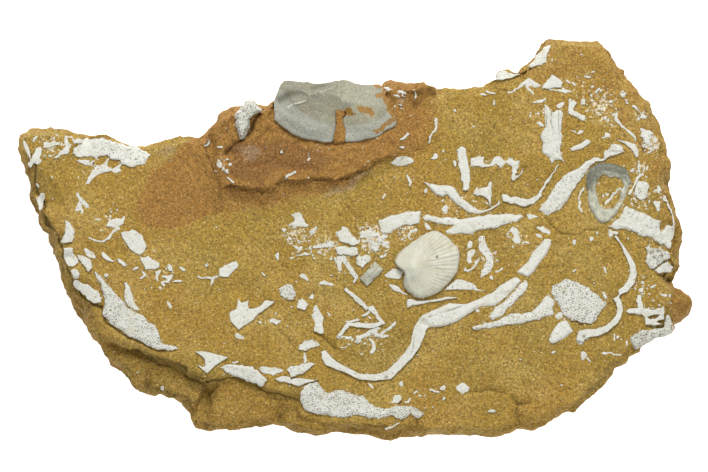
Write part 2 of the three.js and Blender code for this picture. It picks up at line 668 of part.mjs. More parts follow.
function edgesOf(loops) {
  return loops.flatMap((loop) => loop.map((point, i) => [point, loop[(i + 1) % loop.length]]));
}

function distanceToEdges(x, y, edges) {
  let nearest = Infinity;
  for (const [[ax, ay], [bx, by]] of edges) {
    const [dx, dy] = [bx - ax, by - ay];
    const t = THREE.MathUtils.clamp(((x - ax) * dx + (y - ay) * dy) / (dx * dx + dy * dy), 0, 1);
    nearest = Math.min(nearest, Math.hypot(x - ax - t * dx, y - ay - t * dy));
  }
  return nearest;
}

function isInside(x, y, edges) {
  const crossed = edges.filter(
    ([[ax, ay], [bx, by]]) => ay > y !== by > y && x < ax + ((y - ay) / (by - ay)) * (bx - ax),
  );
  return crossed.length % 2 === 1;
}

// Distance to the edge of a region, positive inside it.
function depthInside(x, y, edges) {
  const distance = distanceToEdges(x, y, edges);
  return isInside(x, y, edges) ? distance : -distance;
}

// ---------------------------------------------------------------- triangulation

function withCircle(points, a, b, c) {
  const [ax, ay] = points[a];
  const [bx, by] = [points[b][0] - ax, points[b][1] - ay];
  const [cx, cy] = [points[c][0] - ax, points[c][1] - ay];
  const twice = 2 * (bx * cy - by * cx);
  const ux = (cy * (bx * bx + by * by) - by * (cx * cx + cy * cy)) / twice;
  const uy = (bx * (cx * cx + cy * cy) - cx * (bx * bx + by * by)) / twice;
  return { corners: [a, b, c], x: ax + ux, y: ay + uy, radius: Math.hypot(ux, uy) };
}

// Delaunay triangles of a set of points, by Bowyer and Watson's method.
function delaunay(points) {
  const far = 20 * Math.max(...points.flat().map(Math.abs));
  const all = [...points, [-far, -far], [far, -far], [0, far]];
  const count = points.length;
  let triangles = [withCircle(all, count, count + 1, count + 2)];
  points.forEach(([x, y], index) => {
    const rim = new Map();
    triangles = triangles.filter((triangle) => {
      if (Math.hypot(x - triangle.x, y - triangle.y) > triangle.radius) return true;
      const [a, b, c] = triangle.corners;
      for (const [from, to] of [[a, b], [b, c], [c, a]]) {
        if (!rim.delete(`${to} ${from}`)) rim.set(`${from} ${to}`, [from, to]);
      }
      return false;
    });
    for (const [from, to] of rim.values()) triangles.push(withCircle(all, from, to, index));
  });
  return triangles.map(({ corners }) => corners).filter((corners) => Math.max(...corners) < count);
}

function insideTriangles(loops, inner) {
  const points = [...loops.flat(), ...inner];
  const edges = edgesOf(loops);
  return delaunay(points).filter((corners) => {
    const [x, y] = [0, 1].map((axis) => corners.reduce((sum, i) => sum + points[i][axis], 0) / 3);
    return isInside(x, y, edges);
  });
}

// Halves the edges of the loops until the triangles over the inner points keep every one of them.
function conformed(loops, ...innerSets) {
  for (let round = 0; round < 8; round += 1) {
    const kept = innerSets.map((inner) => {
      const sides = insideTriangles(loops, inner).flatMap(([a, b, c]) => [[a, b], [b, c], [c, a]]);
      return new Set(sides.map(([from, to]) => `${from} ${to}`));
    });
    let start = 0;
    let missing = 0;
    const finer = loops.map((loop) => {
      const first = start;
      start += loop.length;
      return loop.flatMap((point, i) => {
        const j = (i + 1) % loop.length;
        if (kept.every((sides) => sides.has(`${first + i} ${first + j}`))) return [point];
        missing += 1;
        return [point, [(point[0] + loop[j][0]) / 2, (point[1] + loop[j][1]) / 2]];
      });
    });
    if (missing === 0) return loops;
    loops = finer;
  }
  throw new Error("an outline could not be triangulated");
}

// ---------------------------------------------------------------- solids

const scatterRandom = (() => {
  let state = 20.7;
  return () => {
    state = (state * 9301 + 49297) % 233280;
    return state / 233280 - 0.5;
  };
})();

// Points over a region, in staggered rows, clear of its edge and of the points already placed.
function scattered(edges, bounds, spacing, margin, taken) {
  const points = [];
  const rowGap = spacing * 0.87;
  for (let row = 0; bounds.min[1] + row * rowGap < bounds.max[1]; row += 1) {
    for (let x = bounds.min[0] + (row % 2) * spacing * 0.5; x < bounds.max[0]; x += spacing) {
      const px = x + scatterRandom() * spacing * 0.3;
      const py = bounds.min[1] + row * rowGap + scatterRandom() * spacing * 0.3;
      const isClear = taken.every(([tx, ty]) => Math.hypot(px - tx, py - ty) > spacing * 0.55);
      if (isClear && depthInside(px, py, edges) > margin) points.push([px, py]);
    }
  }
  return points;
}

// Points along the edge of a section, a fixed distance in from it.
function ringInside(section, inset, spacing) {
  return section.offset(-inset, "Round").toPolygons().flatMap((loop) =>
    edgesOf([loop]).flatMap(([[ax, ay], [bx, by]]) => {
      const count = Math.max(1, Math.round(Math.hypot(bx - ax, by - ay) / spacing));
      return Array.from({ length: count }, (_, i) => {
        const t = i / count;
        return [ax + t * (bx - ax), ay + t * (by - ay)];
      });
    }),
  );
}

function thinnedPoints(points, spacing) {
  const kept = [];
  for (const [x, y] of points) {
    if (kept.every(([kx, ky]) => Math.hypot(x - kx, y - ky) > spacing)) kept.push([x, y]);
  }
  return kept;
}

// A closed solid between a top and an underside over the same plan, with a wall round it.
function platSolid(loops, topInner, topHeight, bottomInner, bottomHeight) {
  const edgePoints = loops.flat();
  const fill = (inner) => (inner.length ? insideTriangles(loops, inner) : wasm.triangulate(loops));
  const upper = [...edgePoints, ...topInner];
  const lower = [...edgePoints, ...bottomInner];
  const vertices = [
    ...upper.map(([x, y]) => [x, y, topHeight(x, y)]),
    ...lower.map(([x, y]) => [x, y, bottomHeight(x, y)]),
  ];
  const triangles = fill(topInner).map((corners) => [...corners]);
  for (const [a, b, c] of fill(bottomInner)) {
    triangles.push([upper.length + a, upper.length + c, upper.length + b]);
  }
  let first = 0;
  for (const loop of loops) {
    loop.forEach((_, i) => {
      const [a, b] = [first + i, first + ((i + 1) % loop.length)];
      triangles.push([upper.length + a, upper.length + b, b], [upper.length + a, b, a]);
    });
    first += loop.length;
  }
  return new Manifold(
    new Mesh({
      numProp: 3,
      vertProperties: new Float32Array(vertices.flat()),
      triVerts: new Uint32Array(triangles.flat()),
    }),
  );
}

function geometryOf(solid) {
  const { vertProperties, triVerts } = solid.getMesh();
  const geometry = new THREE.BufferGeometry();
  geometry.setAttribute("position", new THREE.BufferAttribute(vertProperties, 3));
  geometry.setIndex(new THREE.BufferAttribute(triVerts, 1));
  return geometry;
}

// ---------------------------------------------------------------- the stone's surface

const slabPlan = sectionOf(SLAB_OUTLINE, null, SLAB_TOLERANCE);
const facePlan = slabPlan
  .offset(-RIM_INSET, "Round")
  .intersect(sectionOf(BROKEN_WEST_RIM, null, SLAB_TOLERANCE))
  .simplify(SLAB_TOLERANCE);
const slabEdges = edgesOf(slabPlan.toPolygons());
const faceEdges = edgesOf(facePlan.toPolygons());

const LAYERS = [
  { edges: edgesOf([pairs(LEDGE)]), rise: LEDGE_RISE },
  { edges: edgesOf([pairs(WEST_SHELF)]), rise: -WEST_SHELF_DROP },
  { edges: edgesOf([pairs(SOUTH_SHELF)]), rise: -SOUTH_SHELF_DROP },
  { edges: edgesOf([pairs(EAST_KNOB)]), rise: -EAST_KNOB_DROP },
];

function smoothFace(x, y) {
  const waves = Math.sin(x / 9 + 1) * Math.cos(y / 7) + 0.6 * Math.sin((x + y) / 13);
  const lumps = SWELLINGS.reduce((sum, [cx, cy, radius, height]) => {
    const reach = Math.hypot(x - cx, y - cy) / radius;
    return sum + (reach < 1 ? height * (1 - reach * reach) ** 2 : 0);
  }, 0);
  return FACE_HEIGHT + SWELL * waves + lumps;
}

function layerHeight(x, y) {
  return LAYERS.reduce((sum, { edges, rise }) => {
    const passed = depthInside(x, y, edges) / STEP_WIDTH;
    return sum + rise * THREE.MathUtils.smoothstep(passed, -0.5, 0.5);
  }, 0);
}

function girthHeight(x, y) {
  const wander = Math.sin(0.21 * x + 0.13 * y) + 0.7 * Math.sin(0.47 * y - 0.33 * x + 1);
  const mean = THREE.MathUtils.lerp(GIRTH_WEST, GIRTH_EAST, THREE.MathUtils.smoothstep(x, -48, -18));
  return mean + GIRTH_WANDER * wander;
}

function roughness(x, y) {
  return ROUGHNESS * (Math.sin(x * 1.7 + 2 * Math.sin(y * 0.9)) + Math.sin(y * 2.1 + 3 * Math.sin(x * 0.6)));
}

function slabTop(x, y) {
  const face = smoothFace(x, y) + layerHeight(x, y);
  const beyondRim = -depthInside(x, y, faceEdges);
  if (beyondRim <= 0) return face;
  const toEdge = distanceToEdges(x, y, slabEdges);
  const down = beyondRim / (beyondRim + toEdge);
  const bandTop = girthHeight(x, y) + SIDE_BAND / 2;
  return THREE.MathUtils.lerp(face, bandTop, down) + roughness(x, y) * Math.min(1, 2 * down);
}

function slabUnderside(x, y) {
  const inward = distanceToEdges(x, y, slabEdges) / UNDERSIDE_CURL;
  if (inward >= 1) return 0;
  const lift = (girthHeight(x, y) - SIDE_BAND / 2) * (1 - inward) ** 1.8;
  return Math.max(0, lift + roughness(x, y) * Math.min(1, 4 * inward) * (1 - inward));
}

// The stone: points along the rim and the layers' steps, rows of points over the side and the face,
// and rings of points where the underside curls up.
function slabSolid() {
  const face = thinnedPoints(ringInside(slabPlan, RIM_INSET, STEP_GRID), STEP_GRID * 0.7);
  const brokenRim = pairs(BROKEN_WEST_RIM).slice(0, BROKEN_RIM_POINTS);
  const steps = LAYERS.flatMap(({ edges }) => {
    const loop = edges.map(([from]) => from);
    const region = new CrossSection([loop], "EvenOdd");
    return [-STEP_WIDTH / 2, STEP_WIDTH / 2].flatMap((inset) => ringInside(region, inset, STEP_GRID));
  });
  const shaped = [...face, ...brokenRim, ...steps].filter(
    ([x, y]) => depthInside(x, y, slabEdges) > RIM_INSET * 0.6,
  );
  const creases = thinnedPoints(shaped, STEP_WIDTH * 0.8);
  const side = scattered(slabEdges, STONE_BOUNDS, SIDE_GRID, SIDE_MARGIN, creases).filter(
    ([x, y]) => depthInside(x, y, faceEdges) < -FACE_MARGIN,
  );
  const topInner = [...creases, ...side];
  topInner.push(...scattered(slabEdges, STONE_BOUNDS, FACE_GRID, RIM_INSET, topInner));
  const curl = CURL_RINGS.flatMap((part) => ringInside(slabPlan, part * UNDERSIDE_CURL, CURL_GRID));
  const bottomInner = thinnedPoints(curl, CURL_SPACING);
  bottomInner.push(...scattered(slabEdges, STONE_BOUNDS, BASE_GRID, UNDERSIDE_CURL, bottomInner));
  const loops = conformed(slabPlan.toPolygons(), topInner, bottomInner);
  return platSolid(loops, topInner, slabTop, bottomInner, slabUnderside);
}

// ---------------------------------------------------------------- the fossils' solids

function middleOf(section) {
  const { min, max } = section.bounds();
  return [(min[0] + max[0]) / 2, (min[1] + max[1]) / 2];
}

// The stone's height under a fossil: the layer under its middle, bent down where it laps the rim.
function seatOf(section) {
  const level = layerHeight(...middleOf(section));
  return (x, y) => {
    const over = Math.max(0, -depthInside(x, y, faceEdges)) / DROOP_REACH;
    return smoothFace(x, y) + level - RIM_DROOP * Math.min(1, over) ** 1.5;
  };
}

function crownProfile(distance, crown) {
  const inward = Math.min(1, distance / crown);
  return Math.sqrt(1 - (1 - inward) ** 2);
}

// The points of a ribbed shell's top: rows along the ribs and the grooves between them.
function ribbedPoints({ beak, ribs, firstRib, ribSpread, rings, outline }) {
  const edges = edgesOf([pairs(outline)]);
  const points = [];
  for (let ray = 0; ray < 2 * ribs; ray += 1) {
    const angle = firstRib + (ribSpread * ray) / (2 * ribs);
    const reach = reachInside(beak, angle, edges);
    for (let ring = 1; ring <= rings; ring += 1) {
      const distance = (reach - RAY_MARGIN) * (ring / rings) ** 0.7;
      points.push([beak[0] + distance * Math.cos(angle), beak[1] + distance * Math.sin(angle)]);
    }
  }
  return thinnedPoints(points, RAY_MARGIN);
}

// How far a region reaches from a point at a given angle.
function reachInside([x, y], angle, edges) {
  let reach = 0;
  while (
    reach < RAY_START ||
    isInside(x + reach * Math.cos(angle), y + reach * Math.sin(angle), edges)
  ) {
    reach += RAY_STEP;
  }
  return reach;
}

function fossilSolids(fossil, section) {
  const { rise, crown = 0, grid = 0, depth = FOSSIL_DEPTH, ribs = 0, ribDepth = 0 } = fossil;
  const { beak, firstRib, ribSpread } = fossil;
  const seat = seatOf(section);
  const loops = section.toPolygons();
  const edges = edgesOf(loops);
  const inner = [];
  if (ribs) inner.push(...ribbedPoints(fossil).filter(([x, y]) => depthInside(x, y, edges) > 0.25));
  else if (crown) {
    const ring = ringInside(section, crown * CROWN_RING, CROWN_RING_GRID);
    inner.push(...thinnedPoints(ring, crown * 0.9));
  }
  if (grid) inner.push(...scattered(edges, section.bounds(), grid, crown * 0.8, inner));
  const edgeRise = crown ? EDGE_RISE : 1;
  const top = (x, y) => {
    const profile = crown ? crownProfile(distanceToEdges(x, y, edges), crown) : 1;
    const swung = ribs ? Math.atan2(y - beak[1], x - beak[0]) - firstRib : 0;
    const rib = ribs ? ribDepth * Math.cos((2 * Math.PI * ribs * swung) / ribSpread) * profile : 0;
    return seat(x, y) + rise * THREE.MathUtils.lerp(edgeRise, 1, profile) + rib;
  };
  const bottom = (x, y) => seat(x, y) - depth;
  const outer = inner.length ? conformed(loops, inner) : loops;
  const body = platSolid(outer, inner, top, [], bottom);
  const room = section.offset(CLEARANCE, "Miter").simplify(CLEARANCE / 4).toPolygons();
  const above = (x, y) => seat(x, y) + 4 * LEDGE_RISE;
  const pocket = platSolid(room, [], above, [], (x, y) => bottom(x, y) - CLEARANCE);
  return { body, pocket };
}

// ---------------------------------------------------------------- the part

function meshOf(name, skin, solid) {
  const mesh = new THREE.Mesh(geometryOf(solid), new THREE.MeshStandardMaterial(skin));
  mesh.name = name;
  return mesh;
}

const slab = new THREE.Group();
const pockets = [];
let taken = null;
for (const fossil of [FAN_SHELL, GREY_SHELL, CRINOID_RING, CRINOID_STEM, ...BRYOZOANS]) {
  const { name, skin = WHITE, hole } = fossil;
  const outline = fossil.outline ?? stripOutline(fossil.ribbon);
  const drawn = sectionOf(outline, hole, FOSSIL_TOLERANCE);
  const free = taken ? drawn.subtract(taken.offset(CLEARANCE, "Miter")) : drawn;
  const [section] = free.decompose().sort((a, b) => b.area() - a.area());
  taken = taken ? taken.add(section) : section;
  const { body, pocket } = fossilSolids(fossil, section.simplify(FOSSIL_TOLERANCE / 2));
  pockets.push(pocket);
  slab.add(meshOf(name, skin, body));
}
const stone = slabSolid().subtract(Manifold.union(pockets));
slab.add(meshOf("siltstone_slab", OCHRE, stone));

export default slab;
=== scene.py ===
"""Bryozoan fossil slab: one operator for each group of like pieces and one for the stage.

The stone and its fossils are worked in millimetres and settled into metres when they are finished.
"""
import json
import math
from functools import cache
from itertools import product

import bpy
import numpy as np
from mathutils import Matrix, Vector
from mathutils.bvhtree import BVHTree


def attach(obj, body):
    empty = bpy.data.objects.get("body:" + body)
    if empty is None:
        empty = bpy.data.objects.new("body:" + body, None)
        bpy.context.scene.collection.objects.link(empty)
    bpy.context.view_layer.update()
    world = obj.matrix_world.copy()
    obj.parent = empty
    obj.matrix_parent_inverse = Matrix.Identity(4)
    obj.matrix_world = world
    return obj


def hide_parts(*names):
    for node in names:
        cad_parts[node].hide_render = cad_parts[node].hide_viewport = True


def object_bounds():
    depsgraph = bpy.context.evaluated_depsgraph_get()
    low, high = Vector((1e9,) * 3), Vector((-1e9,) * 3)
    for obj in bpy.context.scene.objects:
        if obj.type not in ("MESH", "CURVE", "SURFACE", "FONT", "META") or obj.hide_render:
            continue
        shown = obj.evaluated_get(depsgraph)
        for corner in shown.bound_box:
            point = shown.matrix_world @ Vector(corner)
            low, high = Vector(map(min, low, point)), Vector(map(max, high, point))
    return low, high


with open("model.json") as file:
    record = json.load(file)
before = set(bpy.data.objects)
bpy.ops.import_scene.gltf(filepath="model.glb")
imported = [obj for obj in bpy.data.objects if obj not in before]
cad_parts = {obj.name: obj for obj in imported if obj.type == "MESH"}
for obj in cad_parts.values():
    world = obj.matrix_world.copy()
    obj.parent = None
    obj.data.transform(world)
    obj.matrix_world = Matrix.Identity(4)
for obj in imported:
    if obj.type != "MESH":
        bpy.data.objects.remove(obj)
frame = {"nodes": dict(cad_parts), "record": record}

CAD_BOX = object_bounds()

bl_info = {
    "name": "Bryozoan fossil slab",
    "version": (1, 0, 0),
    "blender": (4, 5, 0),
    "location": "3D View > Sidebar > Fossil",
    "description": "Builds the stone, the fossils in its face and the stage they are lit on",
    "category": "Add Mesh",
}

MM = 1000.0
STONE = "siltstone_slab"
SLOT_OF = {part["node"]: part["material_slot"] for part in frame["record"]["subparts"]}
FOSSILS = [node for node in frame["nodes"] if node != STONE]


def linear(red, green, blue):
    """A paint-chart colour, 0 to 255, as the light that it gives back."""
    return tuple(c / 3294.6 if c <= 10 else ((c / 255 + 0.055) / 1.055) ** 2.4 for c in (red, green, blue))


def length(name, description, millimetres):
    return bpy.props.FloatProperty(
        name=name, description=description, default=millimetres / MM, min=0, unit="LENGTH", precision=5
    )


def colour(name, description, *chart):
    return bpy.props.FloatVectorProperty(
        name=name, description=description, subtype="COLOR", size=3, min=0, max=1, default=linear(*chart)
    )


def share(name, description, default):
    return bpy.props.FloatProperty(
        name=name, description=description, default=default, min=0, max=4, subtype="FACTOR"
    )


# ------------------------------------------------------------------ where things lie, in millimetres

LEDGE = (-31, 30, -27.4, 19, -26.7, 15, -26, 12, -24, 7.6, -22.5, 9.1, -17, 8.3, -15, 8.5, -12.3, 10.5,
         -3, 10.3, 0.5, 11.6, 5.5, 14.5, 10.3, 15, 13.4, 16, 14.6, 19, 14.8, 21.5, 15.4, 30)
BROWN_FLAT = (-39.6, 3.2, -38.5, 6.2, -35.9, 11.5, -32.8, 14.6, -29.6, 17.7, -26.5, 19.4, -23.6, 17, -22.6, 9,
              -23.2, 4.9, -27, 3.2, -30.7, 2.2, -34.9, 1.6)
BENCH = (-24, 8, -23.2, 3.6, -19, 4.4, -13, 5.6, -8, 7.4, -3, 8.6, 1, 10.4, 5, 13.2, 5, 16, -24, 12)
NORTHEAST = (26, 29, 30, 27.2, 34, 26.4, 38, 25.4, 42, 22.6, 47, 19.4, 50, 13, 53, 6, 55, -6, 62, -6, 60, 12,
             50, 32, 38, 40, 28, 36)
DARK_LEDGE = (-23, 16, -22, 10.5, -17, 9, -12, 11.2, -6, 11.2, -3, 13.5, -5, 16, -12, 18, -19, 18)
EAST_KNOB = (56.2, -7.6, 56.2, -16, 61, -16, 61, -7.6)
GREY_STAINS = (
    (-35, 16.2, -33.5, 16.7, -31.8, 16.2, -31.9, 15.1, -33.4, 14.6, -35, 15.1),
    (-5.6, 7.2, -4.8, 8.6, -3.6, 9.5, -2, 10.1, 0, 10.9, 1.6, 11.8, 3, 12.4, 3, 11.3, 1.6, 10.2, 0, 9,
     -1.6, 8.4, -3, 7.8, -4.4, 7, -5, 6.5),
    (7.3, 24.8, 8.6, 25.1, 8.8, 24, 8.5, 22.7, 8, 23.2, 7.5, 24),
    (-20.5, 15.8, -18.2, 17, -16, 15.4, -17.5, 13.8, -20, 14),
)

# Cracks and joints: depth, width, then the points that each follows; the depth also sets the painted shade in
# each.
CRACKS = (
    (0.3, 0.26, (-25.2, 3.9, -23.5, 5, -24, 7.6, -23.6, 8.4)),
    (0.22, 0.22, (-23.6, 8.4, -22.5, 9.1, -20, 8.5, -17, 8.2, -15, 8.4, -13, 9.9, -12.3, 10.3, -9.5, 10.4)),
    (0.26, 0.3, (-9.5, 10.4, -6, 10.2, -3, 10, -1.2, 10.8, 0.5, 11.5, 2, 12.2, 4, 13.3)),
    (0.25, 0.22, (-26.8, 15, -25.7, 13.5, -24.6, 11, -24.2, 8.6)),
    (0.5, 0.4, (-26, 18, -25, 20, -24.6, 21.6)),
    (0.4, 0.22, (-14.3, 20, -16.2, 18.4, -17.8, 16.9)),
    (0.8, 0.34, (-15.8, 24.2, -16.4, 22.6, -17.9, 21, -18.1, 19.6, -18.8, 18.4, -20.6, 17, -21.8, 16.2,
                 -22.8, 15)),
    (0.25, 0.2, (-19.5, 12.6, -15, 13.4, -12.2, 15.6, -9.8, 17.4)),
    (0.25, 0.24, (-8.6, 11.6, -7.6, 13.2, -8.4, 14.8, -8, 16.2)),
    (0.3, 0.2, (-27.5, 17.2, -26.6, 15.2)),
    (0.35, 0.25, (5.9, 17.8, 6.6, 16.5)),
    (0.2, 0.2, (13.1, 16.6, 13.7, 18.3, 14.3, 18.8)),
    (0.4, 0.25, (25, 27, 25.2, 26.6, 26, 26.3, 27, 26.1)),
    (0.5, 0.14, (34.1, 3.8, 34.3, 3.2, 34.8, 2.5, 35.3, 1.9, 35.9, 1.4, 36.6, 0.9, 37.4, 0.7, 38.2, 0.6,
                 39, 0.65, 39.8, 0.75, 40.5, 1.1, 40.9, 1.6, 42.2, 1.5, 43.2, 1.6)),
    (0.25, 0.3, (35, -23, 36.6, -24.2)),
    (0.3, 0.25, (40.7, -17.5, 41.1, -17.9)),
    (0.4, 0.3, (51.2, 19.8, 51.8, 18.2, 51.2, 17.5)),
    (0.4, 0.3, (50.3, 17, 51.5, 15.5)),
    (0.4, 0.3, (53, -5.6, 54.5, -4.4, 56, -3.9)),
    (0.3, 0.25, (50, -8.1, 52, -7.1)),
    (0.3, 0.3, (52, -15.6, 55, -15.8)),
    (0.5, 0.4, (20.6, -27.3, 24, -26.9, 26.6, -27.6)),
    (0.5, 0.4, (27.9, -28.1, 28.5, -28.9, 29, -29.4, 31, -29.2)),
    (0.5, 0.4, (29, -29.4, 28.6, -31, 29.2, -32.4)),
    (0.4, 0.2, (-13.3, -16.5, -11.6, -18.2, -10, -20)),
    (0.5, 0.4, (-7.3, -16.5, -6.2, -17.2, -5, -18, -3.4, -19.6)),
    (0.25, 0.3, (-3.4, -19.6, -1.5, -20.5, 1, -21.4)),
    (0.4, 0.16, (20.4, -15.6, 21, -16.3, 23, -16.6)),
    (0.35, 0.16, (30.6, -5.4, 34, -5.2, 37.4, -4.9)),
    (0.4, 0.16, (39, -14.4, 40.2, -15.2)),
    (0.9, 0.55, (-40.4, -19.2, -38.5, -20.1, -36.8, -20.7, -35.8, -21.2, -34.5, -21.6, -33, -22, -31.5, -22.4,
                 -30.4, -22.9, -29.8, -23.8, -29, -24.4, -28, -24.8, -26.3, -25.4)),
    (0.6, 0.5, (-26.3, -25.4, -23.5, -25, -21, -24.6, -20, -25.1, -17.5, -25.9, -16, -27, -13, -27.7,
                -10, -28.8)),
    (0.4, 0.4, (-18, -28, -15, -28.3, -11.9, -28.9)),
    (0.35, 0.4, (0, -33.4, 2.5, -33.7, 5, -33.6)),
    (0.5, 0.3, (11, -32.2, 11.1, -33.4, 11, -34.3)),
    (0.8, 0.36, (-56.9, 14.4, -56.5, 13, -56.8, 10, -56.3, 8, -55, 6, -54.8, 4, -53.5, 2, -52.5, 0, -51.8, -2,
                 -51.7, -4, -50.5, -6, -50.3, -8, -49, -9.5, -47, -11.5, -45, -12.2)),
    (0.6, 0.3, (-45, -12.2, -44, -15, -41, -17, -38, -18.5, -34, -20)),
    (0.4, 0.4, (-52, -8, -49.5, -12.5, -46, -16.5)),
)

# Hollows and lumps of the face: x, y, radius, height.
DIMPLES = (
    (-18.5, 19.5, 0.8, -0.8), (-22.7, 15.4, 1.2, -0.7), (-24.9, 20, 0.9, -0.6), (10.8, 23.6, 1.6, -0.9),
    (42.7, -1.1, 0.4, -0.5), (33.2, -20, 0.35, -0.4), (38.7, -16.2, 0.35, -0.4), (8.05, -29.05, 0.45, -0.7),
    (-36.8, -25.9, 1.8, -0.7), (-13.2, -31.6, 1.6, -0.8), (-42, -14.2, 1.2, -0.4), (13.9, 17.4, 0.7, -0.25),
    (-40.7, 11.5, 0.22, -0.45), (-39.7, 9.8, 0.24, -0.5), (-44.6, 6.9, 0.2, -0.4), (40.9, -1.4, 0.24, -0.4),
    (5.8, -24.6, 0.3, -0.4), (-10, 7.5, 2.4, 0.3), (-31, 9, 3.4, 0.3), (-47, 3, 3, 0.35), (22, -21, 5, 0.35),
    (47, -7, 2.6, 0.3), (25, 15, 4.5, 0.3), (-26, -14, 3, 0.35), (10, -20, 3, -0.3), (-17, -10, 2.4, -0.35),
)

# Where the slab falls away west of its face, and the low shelves below it.
WEST_FALL = (-56.7, 13.5, -56.9, 10, -56.4, 8, -55.1, 6, -54.9, 4, -53.6, 2, -52.6, 0, -51.9, -2, -51.8, -4,
             -50.6, -6, -50.4, -8, -49.1, -9.5, -47.1, -11.5, -45.2, -12.4, -47, -18, -58, -12, -64, 2,
             -62, 13)
SHELVES = (-46, -15, -42, -17.4, -38.5, -20.1, -35.8, -21.2, -33, -22, -30.4, -22.9, -29, -24.4, -26.3, -25.4,
           -21, -24.8, -17.5, -26.1, -13, -27.7, -10, -28.8, -9, -31.5, -4, -32.6, 5, -33, 11, -33.2, 12, -37,
           -20, -38, -40, -34, -52, -22)

# Fossils that were cut in two at a fork or bend: the first half, then the second.
JOINED = {
    "sinuous_blade_lower": "sinuous_blade_upper",
    "s_curve_upper": "s_curve_lower",
    "long_bryozoan_leaf": "bryozoan_leaf_head",
    "network_branch_north": "network_branch_middle",
}
# Fossils that are half gone, so that only islands of them are left: x, y, radius.
CRUMBLED = (
    (-10.3, -0.2, 2.9), (3.2, 0, 4.2), (27.2, 0.3, 1.1), (52.8, 16.8, 1.8), (10.8, 0.3, 1),
    (-46.8, 13.2, 1.6), (-0.6, -18.9, 2.6), (54.8, 8.2, 2), (-15, -14.9, 2), (43, 22.6, 2.5), (16, 14.8, 1.2),
    (-33.8, -6.8, 1.4), (51.4, -8.8, 1.6), (47.9, 25, 1.4), (-49.8, 18, 1.6),
)
# Small pits in the fossils, carved and dark with painted shade: x, y, radius.
PITS = (
    (40.7, -17.4, 0.3), (14.6, -3.3, 0.24), (5.6, -24.7, 0.3), (33, -20.2, 0.25), (-9.9, 26.9, 0.3),
    (22.4, -8.6, 0.2), (53.9, -2.2, 0.35), (54.6, -3.1, 0.3), (53.2, -3.4, 0.3), (55, -2.1, 0.26),
    (52.6, -2.6, 0.26),
)
# How much wider than usual a fossil's pores are set.
COARSE_PORES = {"bryozoan_stub": 1.25, "lower_right_bryozoan": 1.15, "bottom_bryozoan_branch": 0.9}
# Lengthwise furrows of a fossil, carved and given painted shade: depth, width, then the points that each
# follows.
FURROWS = {
    "tall_bryozoan_frond": (
        (0.2, 0.12, (34.9, 24, 35, 22.4, 34.8, 20.6, 35.1, 19.7, 35.3, 18.5, 35.4, 17.2)),
        (0.16, 0.12, (35.9, 18.6, 35.8, 17.6, 35.7, 16.6, 36, 15.2)),
        (0.1, 0.1, (36.3, 23.6, 36.2, 20.4, 36.4, 17.4)),
        (0.1, 0.1, (34.1, 22.6, 34, 19.8, 34.3, 17.6)),
    ),
    "sinuous_blade_lower": (
        (0.12, 0.14, (13.2, -13.9, 15, -13.5, 17, -12.7, 19, -12)),
        (0.08, 0.1, (10.6, -17.6, 10.4, -19.6, 9.2, -22.4)),
    ),
    "straight_stick": ((0.06, 0.1, (18, 18, 18.6, 14)),),
    "long_bar_left": ((0.06, 0.1, (2, 3.6, 8, 4.8)),),
}

# The stone's own relief.
FACE_LUMPS = ((1.6, 5.2), (1.2, 2.3), (0.9, 1.1), (0.5, 0.6))  # height in grains, and size
CRACK_SIDE = 0.35  # faces this near to a crack are halved
SHADED_DIMPLE = -0.35  # a deeper dimple gets painted shade inside
TALUS, TALUS_REACH = 0.9, 2.6  # rubble at the ledge's foot
EAST_WEAR, EAST_END = 2.1, (6.5, 13)  # what is worn off the ledge's east end, more and more between these x
WEST_WEAR, WEST_END, WEST_END_TOP = 1.1, (-25.4, -23.8), (16.5, 18.5)  # the same at its west end, by x and y
WEST_DROP = 0.9  # how much lower the western fall lies
RIM_FOOT, RIM_TOP = 11.5, 13  # stone below the foot belongs to the sides, and above the top to the face
FACING_UP = 0.3  # a face is on top if its normal points up by more than this
BED_SHIFT = 31.7  # sets a bed's blocks apart from those of the next
SEAM = 0.13  # share of a bed's height that is seam, set in and given painted shade
SHOULDER = 0.45  # how far the stone bulges just below its rim
TUCK = 1.2  # how far the stone behind the grey shell is drawn in
TUCK_FROM, TUCK_WEST, TUCK_EAST = (24, 26), (-16, -14.5), (4, 6.5)  # from which y, and between which x
POCKET_SWELL = 0.05  # closes the pockets of the fossils round their fillings

# The grid of the bare face, and the bank of stone at its rim.
GRID_MARGIN, RAY_START = 2, 5  # how far the grid reaches beyond the slab, and its rays start above it
COVER_CELLS = 3  # cells round a fossil that count as covered by it
CROWD_ROUNDS, AIR_ROUNDS = 5, 12  # rounds of blurring that tell how near a fossil or the open air is
RUBBED_ROUNDS = 16  # the same where the ledge's edge is rubbed smooth
FILL_ROUNDS = 500  # the same that carry the known heights in under the fossils
BROW_REACH, BRINK_SLOPE = 3, 0.8  # how far in from the air, and from which slope, the brow levels the face
CLOSE = (0.2, 0.5)  # how crowded a place is where the bank begins, and where it is full
BANKED, BANK_CLEAR = 1.6, 0.25  # the most that stone is banked up, and how far below a fossil's top it ends
CHIP_SIDE = 0.2  # how far the bank under a chip reaches beyond it
NUDGES, NUDGE = 10, 0.2  # how often, and by how much, a chip at the rim may be moved in
RIM_AIR = 0.2  # share of open air round a point that hangs over the edge

